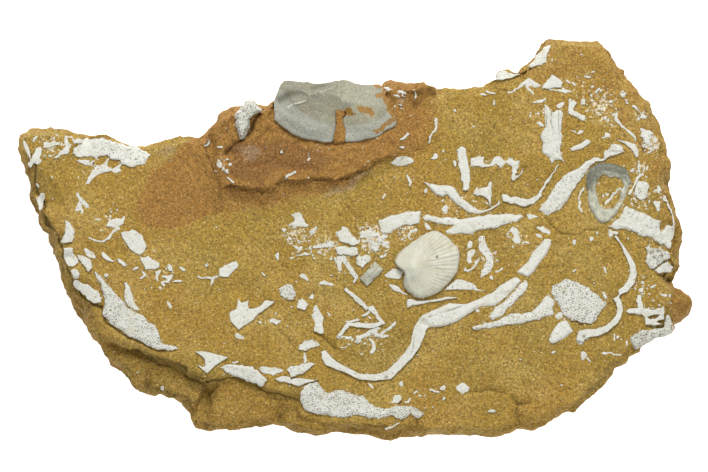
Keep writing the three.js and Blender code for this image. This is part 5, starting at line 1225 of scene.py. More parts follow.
def shell_finish():
    colours = bpy.context.scene.fossil_shells
    f = Finish("ribbed_shell_lime", **{"Specular IOR Level": 0.35})
    groove, ring, stain, pit = f.stored("groove", "ring", "stain", "pit")
    blotch, fine = f.clouds(2.4, 3, 0.55), f.clouds(0.35, 3, 0.6)
    paint = f.mix(colours.shell, colours.shell_warm, blotch.between(0.42, 0.7) * 0.8)
    # Painted shade in the grooves between the ribs and along the carved growth rings.
    paint = f.mix(paint, colours.shell_groove_shade, groove * 0.45 + ring * 0.3)
    # Painted shade in the pits.
    paint = f.mix(paint, colours.grey_dark, pit * 0.9)
    paint = f.mix(paint, colours.stain, stain.ragged(f.clouds(0.8, 3, 0.6, shift=0.6), 1.3, 0.55, 1.0) * 0.75)
    paint = f.dim(paint, 0.94 + (fine - 0.5) * 0.16)
    f.surface(paint, 0.55 + (blotch - 0.5) * 0.3, fine * 0.6 + blotch * 0.3, 0.09)
    return f.material


def grey_finish():
    colours = bpy.context.scene.fossil_shells
    f = Finish("grey_shell_lime", **{"Specular IOR Level": 0.35})
    groove, stain, reach, sweep, lip, patch, crest = f.stored(
        "groove", "stain", "reach", "sweep", "lip", "patch", "crest"
    )
    growth = f.node("ShaderNodeCombineXYZ", {}, {"X": reach * 30, "Y": sweep * 7})
    bands = f.clouds(MM, 4, 0.65, place=growth.outputs[0])
    rays = f.node("ShaderNodeCombineXYZ", {}, {"X": reach * 3.2, "Y": sweep * 90})
    streaks = f.clouds(MM, 3, 0.6, place=rays.outputs[0])
    blotch, fine = f.clouds(3.2, 3, 0.6), f.clouds(0.4, 3, 0.6)
    paint = f.mix(colours.grey, colours.grey_blue, (bands * 0.5 + blotch * 0.5).between(0.42, 0.62) * 0.7)
    paint = f.mix(paint, colours.grey_tan, blotch.between(0.48, 0.68) * 0.7)
    paint = f.mix(paint, colours.grey_pale, streaks.between(0.56, 0.74) * 0.45)
    paint = f.mix(paint, colours.grey_lip, lip.ragged(blotch, 0.9, 0.3, 0.9) * 0.6)
    # Painted shade in the folds, and dark specks.
    paint = f.mix(paint, colours.grey_dark, (groove * 0.6 + fine.between(0.55, 0.7) * 0.25).between(0, 1))
    # Painted highlight on the crests of the folds.
    paint = f.mix(paint, colours.grey_crest, crest.ragged(fine, 1.6, 0.25, 0.95) * 0.6)
    # Painted shade over the shell's western part, where it is hollow, less towards its lip.
    paint = f.dim(paint, 1 - (sweep * 2 - 1.05).between(0, 0.5) * (0.5 - lip * 0.4) * 0.5)
    edge = (stain * 0.8 + patch * 0.95).ragged(f.clouds(0.7, 4, 0.7, shift=0.6), 1.7, 0.55, 0.85)
    paint = f.mix(paint, colours.patch, edge * 0.92)
    paint = f.dim(paint, 1.01 + (fine - 0.5) * 0.9 + (f.clouds(0.2, 2, shift=0.37) - 0.5) * 1.1)
    f.surface(paint, 0.5 + (bands - 0.5) * 0.4, bands * 0.3 + streaks * 0.4 + fine * 0.7, 0.12)
    return f.material


def crinoid_finish():
    colours = bpy.context.scene.fossil_shells
    f = Finish("crinoid_calcite", **{"Specular IOR Level": 0.4})
    dark, groove, stain = f.stored("dark", "groove", "stain")
    blotch, fine = f.clouds(1.2, 3, 0.6), f.clouds(0.35, 3, 0.6)
    paint = f.mix(colours.calcite, colours.grey_blue, blotch.between(0.4, 0.68) * 0.55)
    shadow = (dark + (blotch - 0.5) * 1.1).ragged(fine, 0.9, 0.3, 0.85)
    paint = f.mix(paint, colours.calcite_dark, shadow * 0.9)
    # Painted shade in the stem's carved seams and rings; on the ring, dark mottle.
    paint = f.mix(paint, colours.grey_dark, groove * 0.5)
    paint = f.mix(paint, colours.grey_dark, f.clouds(0.5, 4, 0.75, shift=0.8).between(0.55, 0.68) * 0.6)
    paint = f.mix(paint, colours.calcite, f.clouds(0.45, 4, 0.75, shift=1.3).between(0.54, 0.66) * 0.4)
    paint = f.mix(paint, colours.stain, f.clouds(0.8, 4, 0.7, shift=2.1).between(0.6, 0.7) * 0.5)
    paint = f.mix(paint, colours.stain, stain.ragged(f.clouds(0.8, 3, 0.6, shift=0.6), 1.6, 0.5, 0.95) * 0.7)
    paint = f.dim(paint, 0.92 + (fine - 0.5) * 0.95)
    f.surface(paint, 0.45 + (blotch - 0.5) * 0.4, fine * 0.8 + blotch * 0.5, 0.14)
    return f.material


@cache
def finish_of(slot):
    makers = {"siltstone": stone_finish, "bryozoan": bryozoan_finish, "ribbed_shell": shell_finish,
              "grey_shell": grey_finish, "crinoid": crinoid_finish}
    return makers[slot]()


# ------------------------------------------------------------------ the pieces

def break_sides(points, normals, flat):
    """Breaks up the slab's sides and underside in beds and blocks, and says how much shade is painted into
    the seams.
    """
    settings = bpy.context.scene.fossil_stone
    outward = normals[:, :2] / np.maximum(np.linalg.norm(normals[:, :2], axis=1), TINY)[:, None]
    steep = (1 - ease(0.35, 0.8, np.abs(normals[:, 2]))) * ease(0.4, 1.5, points[:, 2])
    lift = points[:, 2] + 2.4 * speckle(flat, 15, 11) + 1.2 * speckle(points, 5, 12)
    lift += 0.5 * speckle(flat, 2.2, 23)
    beds = lift / (settings.bed_height * MM)
    block = np.c_[flat, np.floor(beds) * BED_SHIFT]
    seam = ease(-0.5, 0.3, speckle(block, 6.5, 24)) * bell(beds - np.floor(beds), SEAM)
    push = settings.side_break * MM * (
        0.8 * speckle(block, 5.5, 13) + 0.45 * speckle(block, 2.1, 14) - 0.9 * seam
        + 0.7 - 1.4 * np.abs(speckle(points, 4.4, 25)) - 0.8 * np.abs(speckle(points, 1.9, 26))
        + 0.4 * speckle(points, 0.9, 15)
    )
    points[:, :2] += outward * (steep * push)[:, None]
    shoulder = ease(12.5, 14.5, points[:, 2]) * (1 - ease(0.55, 0.9, normals[:, 2])) * bare_face().rim(points)
    points[:, :2] += outward * (SHOULDER * shoulder)[:, None]
    x, y, z = points.T
    behind_shell = ease(*TUCK_FROM, y) * ease(*TUCK_WEST, x) * (1 - ease(*TUCK_EAST, x))
    points[:, 1] -= TUCK * behind_shell * ease(8, 12, z)
    under = ease(0.4, 0.8, -normals[:, 2]) * ease(0.15, 0.8, points[:, 2])
    points[:, 2] += under * 0.5 * (speckle(flat, 6, 16) + 0.5 * speckle(flat, 1.6, 17))
    points[:, 2] = np.maximum(points[:, 2], 0)
    # The painted shade of the seams between the beds.
    return steep * 0.45 * seam


def colour_stone(stone, points, normals, flat, top, shade):
    """Marks where the stone is brown, stained, broken or covered with a film of fossil, and where shade is
    painted on it.
    """
    wander = flat + wobble(flat, 2.2, 21) * 0.9
    soft = 0.6 + 3.4 * ease(5, 13, flat[:, 0])
    brown = np.max([
        within(wander, LEDGE, -soft, soft) * (1 - 0.3 * ease(8, 15, wander[:, 0])),
        0.8 * within(wander, BROWN_FLAT, -0.9, 1.0),
        0.75 * within(wander, BENCH, -1.6, 1.6),
        0.42 * within(wander, NORTHEAST, -2, 3),
    ], axis=0)
    rim = 1 - ease(RIM_FOOT - 2, RIM_TOP, points[:, 2])
    mark(
        stone,
        brown=brown * ease(2, 13, points[:, 2] + 2 * speckle(flat, 6, 27)),
        deep=within(wander, DARK_LEDGE, -1.5, 2.5),
        knob=within(wander, EAST_KNOB, -0.8, 0.6),
        grey=np.max([within(wander, patch, -1.1, 1.1) for patch in GREY_STAINS], axis=0) * top,
        side=np.maximum(rim, 1 - ease(-0.1, 0.25, normals[:, 2])),
        # Painted shade on the western fall and the low shelves, which lie low and face away from the light.
        low=np.maximum(within(wander, WEST_FALL, -0.5, 1.0), 0.8 * within(wander, SHELVES, -0.8, 1.0)),
        film=np.maximum(film_of(flat), 0.6 * bare_face().crowd(flat)) * top,
        shade=shade,
    )


def build_stone():
    settings = bpy.context.scene.fossil_stone
    face = bare_face()
    stone = copy_of(STONE)
    plugs = [copy_of(node) for node in FOSSILS if node not in STANDING]
    for plug in plugs:
        swell(plug, POCKET_SWELL)
    join(stone, plugs)
    even_out(stone, settings.coarse_cell * MM, 1)

    def on_face(middles, ups):
        return (ups > FACING_UP) & (middles[:, 2] > RIM_FOOT)

    split(stone, on_face)
    split(stone, lambda middles, ups: on_face(middles, ups) & near_cracks(middles[:, :2]))

    points, normals = points_of(stone), normals_of(stone)
    high = ease(RIM_FOOT, RIM_TOP, points[:, 2])
    seated = (1 - ease(2.2, 3.5, face.slope(points))) * high * ease(0, 0.3, normals[:, 2])
    points[:, 2] += seated * (face.at(points) + face.at(points, face.bank) - points[:, 2])
    top = high * ease(0.15, 0.5, normals[:, 2])
    flat = points[:, :2].copy()
    height, shade = face_relief(flat)
    points[:, 2] += top * height
    side_shade = break_sides(points, normals, flat)
    put_points(stone, points)
    colour_stone(stone, points, normals, flat, top, np.maximum(shade * top, side_shade))
    stone.name = "carved_siltstone"
    settle(stone, "siltstone", STONE)


def roughened(piece, wear, seed):
    """Breaks up a fossil's clean outline and top."""
    _, ragged, grit = wear
    points, normals = points_of(piece), normals_of(piece)
    flat = points[:, :2]
    shift = wobble(flat, 1.1, seed) + 0.8 * wobble(flat, 0.5, seed + 2)
    top = ease(0.3, 0.8, normals[:, 2])
    points[:, 2] += top * grit * (speckle(flat, 1.3, seed + 4) + 0.6 * speckle(flat, 0.5, seed + 5))
    points[:, :2] += ragged * shift
    return points, top


def stain_of(points, clear=0.4):
    """Near 1 where a fossil meets the stone, 0 where it stands clear of it."""
    return 1 - ease(0.0, clear, points[:, 2] - bare_face().at(points))


def crumbled(flat):
    """How far a fossil is gone at each point, from 0 to 1."""
    gone = np.max([1 - ease(0.7, 1, apart(flat, x, y) / radius) for x, y, radius in CRUMBLED], axis=0)
    holes = speckle(flat, 0.8, 91) + 0.7 * speckle(flat, 0.42, 92)
    return gone * ease(-0.12, 0.3, holes)


def film_of(flat):
    """How much of the stone's surface is a film of crushed fossil, from 0 to 1."""
    return np.max([min(1, count / FULL_PATCH) * bell(apart(flat, x, y), radius)
                   for x, y, radius, count in CRUMBS], axis=0)


def pressed(points, share, top):
    """Lowers what stands above the stone to a share of its height, and lifts the top a little clear of it."""
    proud = points[:, 2] - bare_face().at(points)
    points[:, 2] += FOSSIL_LIFT * top - np.clip(proud, 0, TALLEST) * (1 - share)


def pits(flat):
    """How deep each point lies in a pit, from 0 to 1."""
    return np.max([1 - ease(0.6 * radius, 1.2 * radius, apart(flat, x, y)) for x, y, radius in PITS], axis=0)


def lace(flat, degrees, spacing, open_to):
    """How deep each point lies in one of the pores of a lacy bryozoan, from 0 to 1."""
    turn = math.radians(degrees)
    along = flat @ np.array([math.cos(turn), math.sin(turn)]) + 0.3 * speckle(flat, 2.4, 41)
    over = flat @ np.array([-math.sin(turn), math.cos(turn)]) + 0.3 * speckle(flat, 2.4, 42)
    row_gap = spacing * math.sqrt(3) / 2
    row = np.round(over / row_gap)
    best = np.full(len(flat), FAR)
    for row_step, step in product((-1, 0, 1), repeat=2):
        r = row + row_step
        offset = np.where(r % 2 == 0, 0.0, 0.5)
        c = np.round(along / spacing - offset) + offset + step
        spot = np.c_[c, r] * PORE_SEED_STEP
        stray = PORE_STRAY * spacing / 2 * wobble(spot, 1, 46)
        east, north = along - c * spacing - stray[:, 0], over - r * row_gap - stray[:, 1]
        best = np.minimum(best, np.hypot(east * 0.85, north) / (1 + 0.6 * speckle(spot, 1, 48)))
    return 1 - ease(0.45 * open_to, open_to, best)


def build_bryozoans():
    whole = [node for node in FOSSILS if SLOT_OF[node] == "bryozoan" and node not in JOINED.values()]
    for number, node in enumerate(whole):
        build_bryozoan(node, 50 + number)


def build_bryozoan(node, seed):
    """Carves one bryozoan: a worn outline, pores, furrows and pits."""
    settings = bpy.context.scene.fossil_shells
    degrees, openness, age = LACE.get(node, (0, 0, 0.05))
    wear = SMOOTH_WEAR if node in SMOOTH_SHELLS else RAGGED_WEAR
    piece = copy_of(node)
    nodes = [node]
    if node in JOINED:
        nodes.append(JOINED[node])
        other = copy_of(JOINED[node])
        swell(piece, JOIN_SWELL)
        swell(other, JOIN_SWELL)
        join(piece, [other])
    even_out(piece, (settings.fine_cell if openness > FINE_FROM else settings.plain_cell) * MM, wear[0])
    if node in JOINED:
        swell(piece, -JOIN_SHRINK)
    points, top = roughened(piece, wear, seed)
    pressed(points, 1 if node in STANDING else settings.proud, top)
    open_side = openness * ease(-0.1, 0.35, normals_of(piece)[:, 2])
    open_side *= ease(-0.5, 0.3, speckle(points, 2.6, 43) + openness - 0.5)
    pore = np.zeros(len(points))
    if openness > CARVED_FROM:
        wide = COARSE_PORES.get(node, 1) * MM
        pore = lace(points[:, :2], degrees, settings.pore_gap * wide, settings.pore_width * wide / 2)
        pore *= open_side
        points[:, 2] -= pore * settings.pore_depth * MM
    for depth, width, line in FURROWS.get(node, ()):
        furrow = bell(off_line(points[:, :2], line), width) * top
        points[:, 2] -= depth * furrow
        # The furrow gets painted shade.
        pore = np.maximum(pore, 0.75 * furrow * ease(-0.6, 0.2, speckle(points[:, :2], 0.9, 49)))
    pit = pits(points[:, :2]) * top
    points[:, 2] -= PIT_DEPTH * pit
    put_points(piece, points)
    mark(piece, pore=np.maximum(pore, pit), porous=open_side, stain=stain_of(points), age=age)
    settle(piece, "bryozoan", *nodes)


def build_fan(node):
    """Carves the ribs and the growth rings of the fan-shaped shell round its beak."""
    settings = bpy.context.scene.fossil_shells
    piece = copy_of(node)
    even_out(piece, settings.plain_cell * MM, FAN_WEAR[0])
    points, top = roughened(piece, FAN_WEAR, 31)
    away = points[:, :2] - np.array(FAN_BEAK)
    reach, turn = np.hypot(*away.T), np.arctan2(away[:, 1], away[:, 0])
    flat = points[:, :2]
    points[:, 2] += top * NOTCH_FILL * bell(off_line(flat, FAN_NOTCH), NOTCH_WIDTH)
    rib = 0.5 + 0.5 * np.cos(turn * settings.rib_count + 0.9 * speckle(flat, 2.2, 32))
    groove = (1 - rib) ** 1.6 * ease(0.8, 4, reach)
    from_ring = (reach + 0.25 * speckle(flat, 2.5, 33)) % FAN_RING_GAP - FAN_RING
    ring = 0.4 * bell(from_ring, 0.17) * ease(3, 6.5, reach)
    pit = pits(flat)
    points[:, 2] -= top * (groove * settings.rib_depth * MM + ring * 0.06 + PIT_DEPTH * pit)
    put_points(piece, points)
    mark(piece, groove=groove * top, pit=pit, ring=ring * top, stain=stain_of(points))
    settle(piece, SLOT_OF[node], node)


def build_grey(node):
    """Carves the folds of the large shell, and says where stone is left on it."""
    settings = bpy.context.scene.fossil_shells
    piece = copy_of(node)
    even_out(piece, settings.plain_cell * MM * GREY_COARSER, GREY_WEAR[0])
    points, top = roughened(piece, GREY_WEAR, 35)
    flat = points[:, :2].copy()
    away = flat - np.array(GREY_BEAK)
    reach, turn = np.hypot(away[:, 0] * 0.8, away[:, 1]), np.arctan2(-away[:, 1], away[:, 0])
    # Grooves get painted shade and crests a painted highlight.
    groove, crest = np.zeros(len(points)), np.zeros(len(points))
    for depth, width, line in GREY_LINES:
        dent = bell(off_line(flat + 0.1 * speckle(flat, 0.7, 34)[:, None], line), width)
        points[:, 2] -= top * depth * dent
        groove = np.maximum(groove, dent * (depth > 0))
        crest = np.maximum(crest, dent * (depth < 0) * min(1, -4 * depth))
    points[:, 2] -= top * 0.04 * ease(0.3, 1, np.sin(reach * 4.2 + 2 * speckle(flat, 2.4, 36)))
    put_points(piece, points)
    ragged = flat + 0.35 * wobble(flat, 0.9, 71)
    patch = np.max([within(ragged, outline, -0.4, 0.05) for outline in STONE_ON_SHELL], axis=0)
    # Stone clings to the edge of the shell's southern half only.
    stain = stain_of(points) * (1 - ease(*GREY_STAINED, points[:, 1]))
    mark(piece, crest=crest, patch=patch, lip=ease(8.2, 10.6, reach), groove=groove, reach=reach / 20,
         sweep=turn / math.pi, stain=stain)
    settle(piece, SLOT_OF[node], node)


def build_crinoid(node):
    """Carves the crinoid ring, or the piece of stem with its seams and rings."""
    piece = copy_of(node)
    even_out(piece, bpy.context.scene.fossil_shells.plain_cell * MM, CRINOID_WEAR[0])
    points, top = roughened(piece, CRINOID_WEAR, 37)
    flat = points[:, :2]
    if node == "crinoid_ring":
        dark = within(flat, RING_DARK, -1.8, 1.6)
        groove = ease(0.55, 0.9, speckle(flat, 0.8, 38))
    else:
        # The stem lies aslant; two seams run down it and faint rings cross it, carved and given painted
        # shade.
        dark = 0.12
        along, over = (flat[:, 0] + flat[:, 1]) / math.sqrt(2), (flat[:, 0] - flat[:, 1]) / math.sqrt(2)
        seam = bell(np.abs(over - STEM_MIDDLE) - STEM_SEAM, 0.12)
        groove = np.maximum(0.8 * seam, 0.2 * ease(0.8, 0.97, np.cos(2 * math.pi * along / STEM_RING_GAP)))
        points[:, 2] -= top * 0.08 * groove
    put_points(piece, points)
    mark(piece, dark=dark, groove=groove, stain=stain_of(points))
    settle(piece, SLOT_OF[node], node)


def plates(name, outlines, thickness, cell, seat, slot, seed):
    """Thin plates of the given outlines, bedded on a seat height, as one piece."""
    points, faces = [], []
    for outline in outlines:
        turned = np.roll(outline, -1, axis=0)
        if (outline[:, 0] * turned[:, 1] - turned[:, 0] * outline[:, 1]).sum() < 0:
            outline = outline[::-1]
        faces.append(tuple(range(len(points), len(points) + len(outline))))
        points += [(x, y, 0) for x, y in outline]
    piece = from_faces(name, points, faces)
    apply_modifier(piece, "SOLIDIFY", thickness=thickness, offset=0)
    even_out(piece, cell, CHIP_WEAR[0])
    points, top = roughened(piece, CHIP_WEAR, seed)
    flat = points[:, :2]
    proud = PLATE_RISE * (1 + 0.35 * speckle(flat, 3.1, seed + 7))
    gone = crumbled(flat) if slot == "bryozoan" else 0
    pit = pits(flat) * top
    points[:, 2] += proud - thickness / 2 + seat(points) - CRUMBLE_DROP * gone - PIT_DEPTH * pit
    put_points(piece, points)
    if slot == "bryozoan":
        stain = np.maximum(0.8 * stain_of(points, PLATE_RISE), 0.5 * film_of(flat))
        mark(piece, pore=pit, porous=top * ease(-0.3, 0.7, speckle(flat, 4, seed + 8)), stain=stain)
    else:
        mark(piece, brown=0.9)
    settle(piece, slot)


def build_chips():
    cell = bpy.context.scene.fossil_shells.chip_cell * MM
    face = bare_face()
    for number, (region, outlines) in enumerate(face.chips.items()):
        plates(region + "_chips", outlines, PLATE_THICKNESS, cell, face.level, "bryozoan", 80 + 9 * number)


def build_cleft():
    """The stone that fills the broken shell's cleft, almost up to its lips."""
    shell = tree_of(["grey_brachiopod_valve", STONE])

    def seat(points):
        """The shell's own height, and in its cleft a little less than the height of the two lips."""
        down = Vector((0, 0, -1))
        best = np.full(len(points), -1.0)
        for reach in (-CLEFT_REACH, 0, CLEFT_REACH):
            hits = [shell.ray_cast(Vector((x + reach, y, CLEFT_RAY_TOP)), down)[0] for x, y in points[:, :2]]
            best = np.maximum(best, [hit.z - LIP_DROP * abs(reach) if hit else -1.0 for hit in hits])
        return best

    plates("stone_in_the_cleft", [in_pairs(SHELL_CLEFT)], CLEFT_THICKNESS, CLEFT_CELL, seat, "siltstone", 140)


def crumb_places(dice):
    """Where crumbs lie, as x, y, scale: thick in the patches, and smaller ones all over the face."""
    places = []
    for x, y, radius, count in CRUMBS:
        reach = radius * np.sqrt(dice.random(count))
        turn = dice.random(count) * 2 * math.pi
        places += [(x + r * math.cos(t), y + r * math.sin(t), 1.0) for r, t in zip(reach, turn)]
    east = dice.uniform(-STRAY_EAST, STRAY_EAST, STRAY_CRUMBS)
    north = dice.uniform(-STRAY_NORTH, STRAY_NORTH, STRAY_CRUMBS)
    return places + [(x, y, STRAY_SIZE) for x, y in zip(east, north)]


def build_crumbs():
    """Hundreds of crumbs of fossil, each a small broken flake of a few faces."""
    dice = np.random.default_rng(bpy.context.scene.fossil_shells.crumb_seed)
    face = bare_face()
    points, faces = [], []
    for x, y, scale in crumb_places(dice):
        height = face.at(np.array([[x, y]]))[0]
        i, j = ((np.array([x, y]) - face.start) / face.cell).astype(int)
        rows, columns = (slice(max(k - CRUMB_CLEAR, 0), k + CRUMB_CLEAR + 1) for k in (j, i))
        if face.open_air[rows, columns].any() or height < RIM_FOOT + 2:
            continue
        sides = dice.integers(5, 8)
        long = scale * dice.uniform(0.1, 0.4)
        short = long * dice.uniform(0.3, 0.8)
        way = dice.random() * math.pi
        cos, sin = math.cos(way), math.sin(way)
        first = len(points)
        for grow, lift in CRUMB_LAYERS:
            for k in range(sides):
                a = 2 * math.pi * (k + 0.35 * math.sin(k * 5.1 + x)) / sides
                u, v = grow * long * math.cos(a), grow * short * math.sin(a)
                points.append((x + u * cos - v * sin, y + u * sin + v * cos, height + lift))
        for low in (first, first + sides):
            high = low + sides
            faces += [(low + k, low + (k + 1) % sides, high + (k + 1) % sides, high + k)
                      for k in range(sides)]
        faces.append(tuple(first + 2 * sides + k for k in range(sides)))
        faces.append(tuple(first + k for k in reversed(range(sides))))
    settle(from_faces("fossil_crumbs", points, faces), "bryozoan")


def set_camera():
    """A long lens straight above the slab."""
    eye = bpy.data.cameras.new("overhead_camera")
    eye.sensor_width, eye.lens = SENSOR, LENS
    camera = bpy.data.objects.new("overhead_camera", eye)
    view_width = PICTURE_WIDTH * PICTURE_SCALE / MM
    camera.location = ((PICTURE_WIDTH / 2 - ORIGIN_X) * PICTURE_SCALE / MM,
                       (ORIGIN_Y - PICTURE_HEIGHT / 2) * PICTURE_SCALE / MM,
                       FACE_HEIGHT + view_width * LENS / SENSOR)
    bpy.context.scene.collection.objects.link(camera)
    bpy.context.scene.camera = camera


def hang_lamp(name, place, size, power):
    """A square softbox that faces the slab."""
    light = bpy.data.lights.new(name, "AREA")
    light.shape, light.size, light.energy = "SQUARE", size, power
    lamp = bpy.data.objects.new(name, light)
    lamp.location = place
    lamp.rotation_euler = (Vector((0, 0, 0)) - Vector(place)).to_track_quat("-Z", "Y").to_euler()
    bpy.context.scene.collection.objects.link(lamp)


def build_stage():
    stage = bpy.context.scene.fossil_stage
    bpy.ops.object.select_all(action="DESELECT")
    bpy.ops.mesh.primitive_plane_add(size=FLOOR_SIZE, location=(0, 0, 0))
    floor = bpy.context.active_object
    floor.name = "studio_floor"
    floor.data.transform(Matrix.Translation((0, 0, -FLOOR_DROP)))
    paper = Finish("pale_paper", **{
        "Base Color": stage.floor, "Roughness": 0.9, "Specular IOR Level": 0.2, "Emission Color": stage.floor,
        "Emission Strength": stage.floor_glow,
    })
    floor.data.materials.append(paper.material)
    hang_lamp("north_softbox", stage.key_place, KEY_SIZE, stage.key_power)
    hang_lamp("south_fill", FILL_PLACE, FILL_SIZE, stage.fill_power)
    world = bpy.data.worlds.new("studio_air")
    world.use_nodes = True
    background = world.node_tree.nodes["Background"]
    background.inputs["Color"].default_value = (1, 1, 1, 1)
    background.inputs["Strength"].default_value = stage.air
    bpy.context.scene.world = world
    bpy.context.scene.view_settings.view_transform = "Standard"
    set_camera()


# ------------------------------------------------------------------ the add-on

class StoneSettings(bpy.types.PropertyGroup):
    coarse_cell: length("Coarse cell", "Size of a face on the sides and underside", 0.75)
    fine_cell: length("Fine cell", "Grid on which the height of the bare stone is kept", 0.33)
    grain: length("Grain", "Height of the lumps and grit of the face", 0.09)
    crack_depth: bpy.props.FloatProperty(
        name="Crack depth", description="How strongly cracks and joints are cut", default=0.7, min=0, max=3)
    bed_height: length("Bed height", "Thickness of the beds that show in the broken sides", 2.7)
    side_break: length("Side break", "How far the beds stand in and out of the sides", 0.62)
    ochre: colour("Ochre", "The plain stone", 156, 126, 54)
    ochre_pale: colour("Pale ochre", "The stone where it is cleanest", 166, 138, 70)
    # Also the painted shade of the low shelves.
    ochre_deep_and_shelf_shade: colour("Deep ochre", "Darker clouds in the stone", 136, 104, 40)
    olive: colour("Olive", "Greenish grains", 124, 109, 54)
    brown: colour("Brown", "The ironstone of the ledge", 150, 110, 54)
    brown_deep: colour("Dark brown", "The darkest of the ledge", 126, 88, 48)
    rust: colour("Rust", "Broken sides and rusty clouds", 158, 112, 52)
    stain_grey: colour("Grey stain", "Greyish patches on the ledge", 148, 128, 104)
    grain_dark: colour("Dark grain", "Single dark grains", 92, 72, 32)
    grain_pale: colour("Pale grain", "Single pale grains", 212, 192, 142)
    speck: colour("Speck", "Crushed shell in the stone", 235, 228, 205)


class FossilSettings(bpy.types.PropertyGroup):
    fine_cell: length("Fine cell", "Size of a face on a lacy fossil", 0.125)
    plain_cell: length("Plain cell", "Size of a face on a plain fossil", 0.17)
    chip_cell: length("Chip cell", "Size of a face on a chip", 0.14)
    pore_gap: length("Pore gap", "Distance from pore to pore", 0.46)
    pore_width: length("Pore width", "Width of a pore", 0.24)
    pore_depth: length("Pore depth", "Depth of a pore", 0.1)
    proud: share("Proud", "How much of a fossil's height stands clear of the stone", 0.5)
    rib_count: bpy.props.IntProperty(
        name="Ribs", description="Ribs in a full turn round the beak", default=72, min=8)
    rib_depth: length("Rib depth", "Depth of the grooves between ribs", 0.07)
    crumb_seed: bpy.props.IntProperty(
        name="Crumb scatter", description="Which scatter of crumbs", default=7, min=0)
    white: colour("White", "Clean bryozoan", 216, 216, 206)
    cream: colour("Cream", "Warmer bryozoan", 204, 200, 180)
    weathered: colour("Weathered", "Greyed bryozoan", 176, 172, 154)
    # This colour is the painted shade in the pores, pits and furrows of the bryozoans and chips.
    pore: colour("Pore", "Stone in the pores", 124, 117, 94)
    stain: colour("Stone stain", "Stone still clinging to a fossil", 172, 142, 72)
    shell: colour("Shell", "Ribbed shell", 202, 202, 186)
    shell_warm: colour("Warm shell", "Warmer clouds of the ribbed shell", 193, 188, 165)
    # Painted shade between the ribs and in the growth rings.
    shell_groove_shade: colour("Shell groove", "Between the ribs", 166, 158, 132)
    grey: colour("Grey", "The large shell", 143, 140, 118)
    grey_blue: colour("Blue grey", "Bluer bands of the large shell", 134, 134, 122)
    grey_tan: colour("Tan", "Warmer clouds of the large shell", 148, 139, 110)
    grey_pale: colour("Pale grey", "Pale rays of the large shell", 180, 177, 158)
    # Also the painted shade in the large shell's folds, the ribbed shell's pits and the crinoid stem's seams
    # and rings.
    grey_dark: colour("Dark grey", "Dark lines of the large shell", 104, 100, 84)
    grey_lip: colour("Lip", "Blue-white margin of the large shell", 156, 159, 150)
    # A painted highlight on the crests of the large shell's folds.
    grey_crest: colour("Crest", "Pale crests of the large shell", 214, 212, 198)
    patch: colour("Stone on the shell", "Stone left on the large shell", 142, 100, 30)
    calcite: colour("Calcite", "Pale part of the crinoid ring", 188, 188, 168)
    calcite_dark: colour("Dark calcite", "Dark part of the crinoid ring", 92, 94, 78)


class StageSettings(bpy.types.PropertyGroup):
    key_power: bpy.props.FloatProperty(
        name="Key power", description="Power of the north softbox", default=5.6, min=0, unit="POWER")
    fill_power: bpy.props.FloatProperty(
        name="Fill power", description="Power of the south fill", default=1.4, min=0, unit="POWER")
    key_place: bpy.props.FloatVectorProperty(
        name="Key place", description="Where the softbox hangs", default=(0.02, 0.46, 0.58), unit="LENGTH")
    air: share("Air light", "Strength of the even light all round", 0.42)
    floor: colour("Floor", "Pale paper", 250, 250, 249)
    floor_glow: share("Floor glow", "How much the paper glows, as if lit from below", 0.9)


class FOSSIL_OT_stone(bpy.types.Operator):
    """Carve the slab of siltstone, with its ledge, cracks and broken sides"""

    bl_idname = "fossil.stone"
    bl_label = "Siltstone slab"

    def execute(self, context):
        build_stone()
        return {"FINISHED"}


class FOSSIL_OT_bryozoans(bpy.types.Operator):
    """Carve every bryozoan leaf, branch and bar, with its rows of pores"""

    bl_idname = "fossil.bryozoans"
    bl_label = "Bryozoans"

    def execute(self, context):
        build_bryozoans()
        return {"FINISHED"}


class FOSSIL_OT_ribbed_shell(bpy.types.Operator):
    """Carve the ribs and growth lines of the fan-shaped shell"""

    bl_idname = "fossil.ribbed_shell"
    bl_label = "Ribbed shell"

    def execute(self, context):
        build_slot("ribbed_shell", build_fan)
        return {"FINISHED"}


class FOSSIL_OT_grey_shell(bpy.types.Operator):
    """Carve the large grey shell and the stone left on it"""

    bl_idname = "fossil.grey_shell"
    bl_label = "Grey shell"

    def execute(self, context):
        build_slot("grey_shell", build_grey)
        build_cleft()
        return {"FINISHED"}


class FOSSIL_OT_crinoids(bpy.types.Operator):
    """Carve the crinoid ring and the piece of stem"""

    bl_idname = "fossil.crinoids"
    bl_label = "Crinoid pieces"

    def execute(self, context):
        build_slot("crinoid", build_crinoid)
        return {"FINISHED"}


class FOSSIL_OT_chips(bpy.types.Operator):
    """Lay the thin chips and twigs of fossil that lie between the larger ones"""

    bl_idname = "fossil.chips"
    bl_label = "Chips and twigs"

    def execute(self, context):
        build_chips()
        return {"FINISHED"}


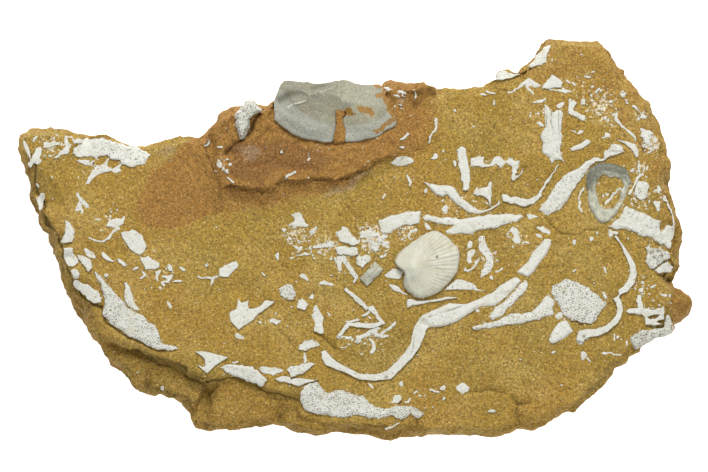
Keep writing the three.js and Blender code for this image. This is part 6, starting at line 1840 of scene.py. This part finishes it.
class FOSSIL_OT_crumbs(bpy.types.Operator):
    """Scatter the crumbs of fossil"""

    bl_idname = "fossil.crumbs"
    bl_label = "Crumbs"

    def execute(self, context):
        build_crumbs()
        return {"FINISHED"}


class FOSSIL_OT_stage(bpy.types.Operator):
    """Set the pale floor, the soft lights and the overhead camera"""

    bl_idname = "fossil.stage"
    bl_label = "Stage"

    def execute(self, context):
        build_stage()
        return {"FINISHED"}


OPERATORS = (FOSSIL_OT_stone, FOSSIL_OT_bryozoans, FOSSIL_OT_ribbed_shell, FOSSIL_OT_grey_shell,
             FOSSIL_OT_crinoids, FOSSIL_OT_chips, FOSSIL_OT_crumbs, FOSSIL_OT_stage)
SETTINGS = {"fossil_stone": StoneSettings, "fossil_shells": FossilSettings, "fossil_stage": StageSettings}


class FOSSIL_PT_panel(bpy.types.Panel):
    bl_label = "Bryozoan fossil slab"
    bl_space_type = "VIEW_3D"
    bl_region_type = "UI"
    bl_category = "Fossil"

    def draw(self, context):
        for operator in OPERATORS:
            self.layout.operator(operator.bl_idname)
        for group in SETTINGS:
            box = self.layout.box()
            for name in getattr(context.scene, group).bl_rna.properties.keys():
                if name not in ("rna_type", "name"):
                    box.prop(getattr(context.scene, group), name)


def build_slot(slot, build):
    for node in FOSSILS:
        if SLOT_OF[node] == slot:
            build(node)


def register():
    for group in (*SETTINGS.values(), *OPERATORS, FOSSIL_PT_panel):
        bpy.utils.register_class(group)
    for name, group in SETTINGS.items():
        setattr(bpy.types.Scene, name, bpy.props.PointerProperty(type=group))


def unregister():
    for name in SETTINGS:
        delattr(bpy.types.Scene, name)
    for group in reversed((*SETTINGS.values(), *OPERATORS, FOSSIL_PT_panel)):
        bpy.utils.unregister_class(group)


def main():
    register()
    bpy.ops.fossil.stone()
    bpy.ops.fossil.bryozoans()
    bpy.ops.fossil.ribbed_shell()
    bpy.ops.fossil.grey_shell()
    bpy.ops.fossil.crinoids()
    bpy.ops.fossil.chips()
    bpy.ops.fossil.crumbs()
    bpy.ops.fossil.stage()


if __name__ == "__main__":
    main()
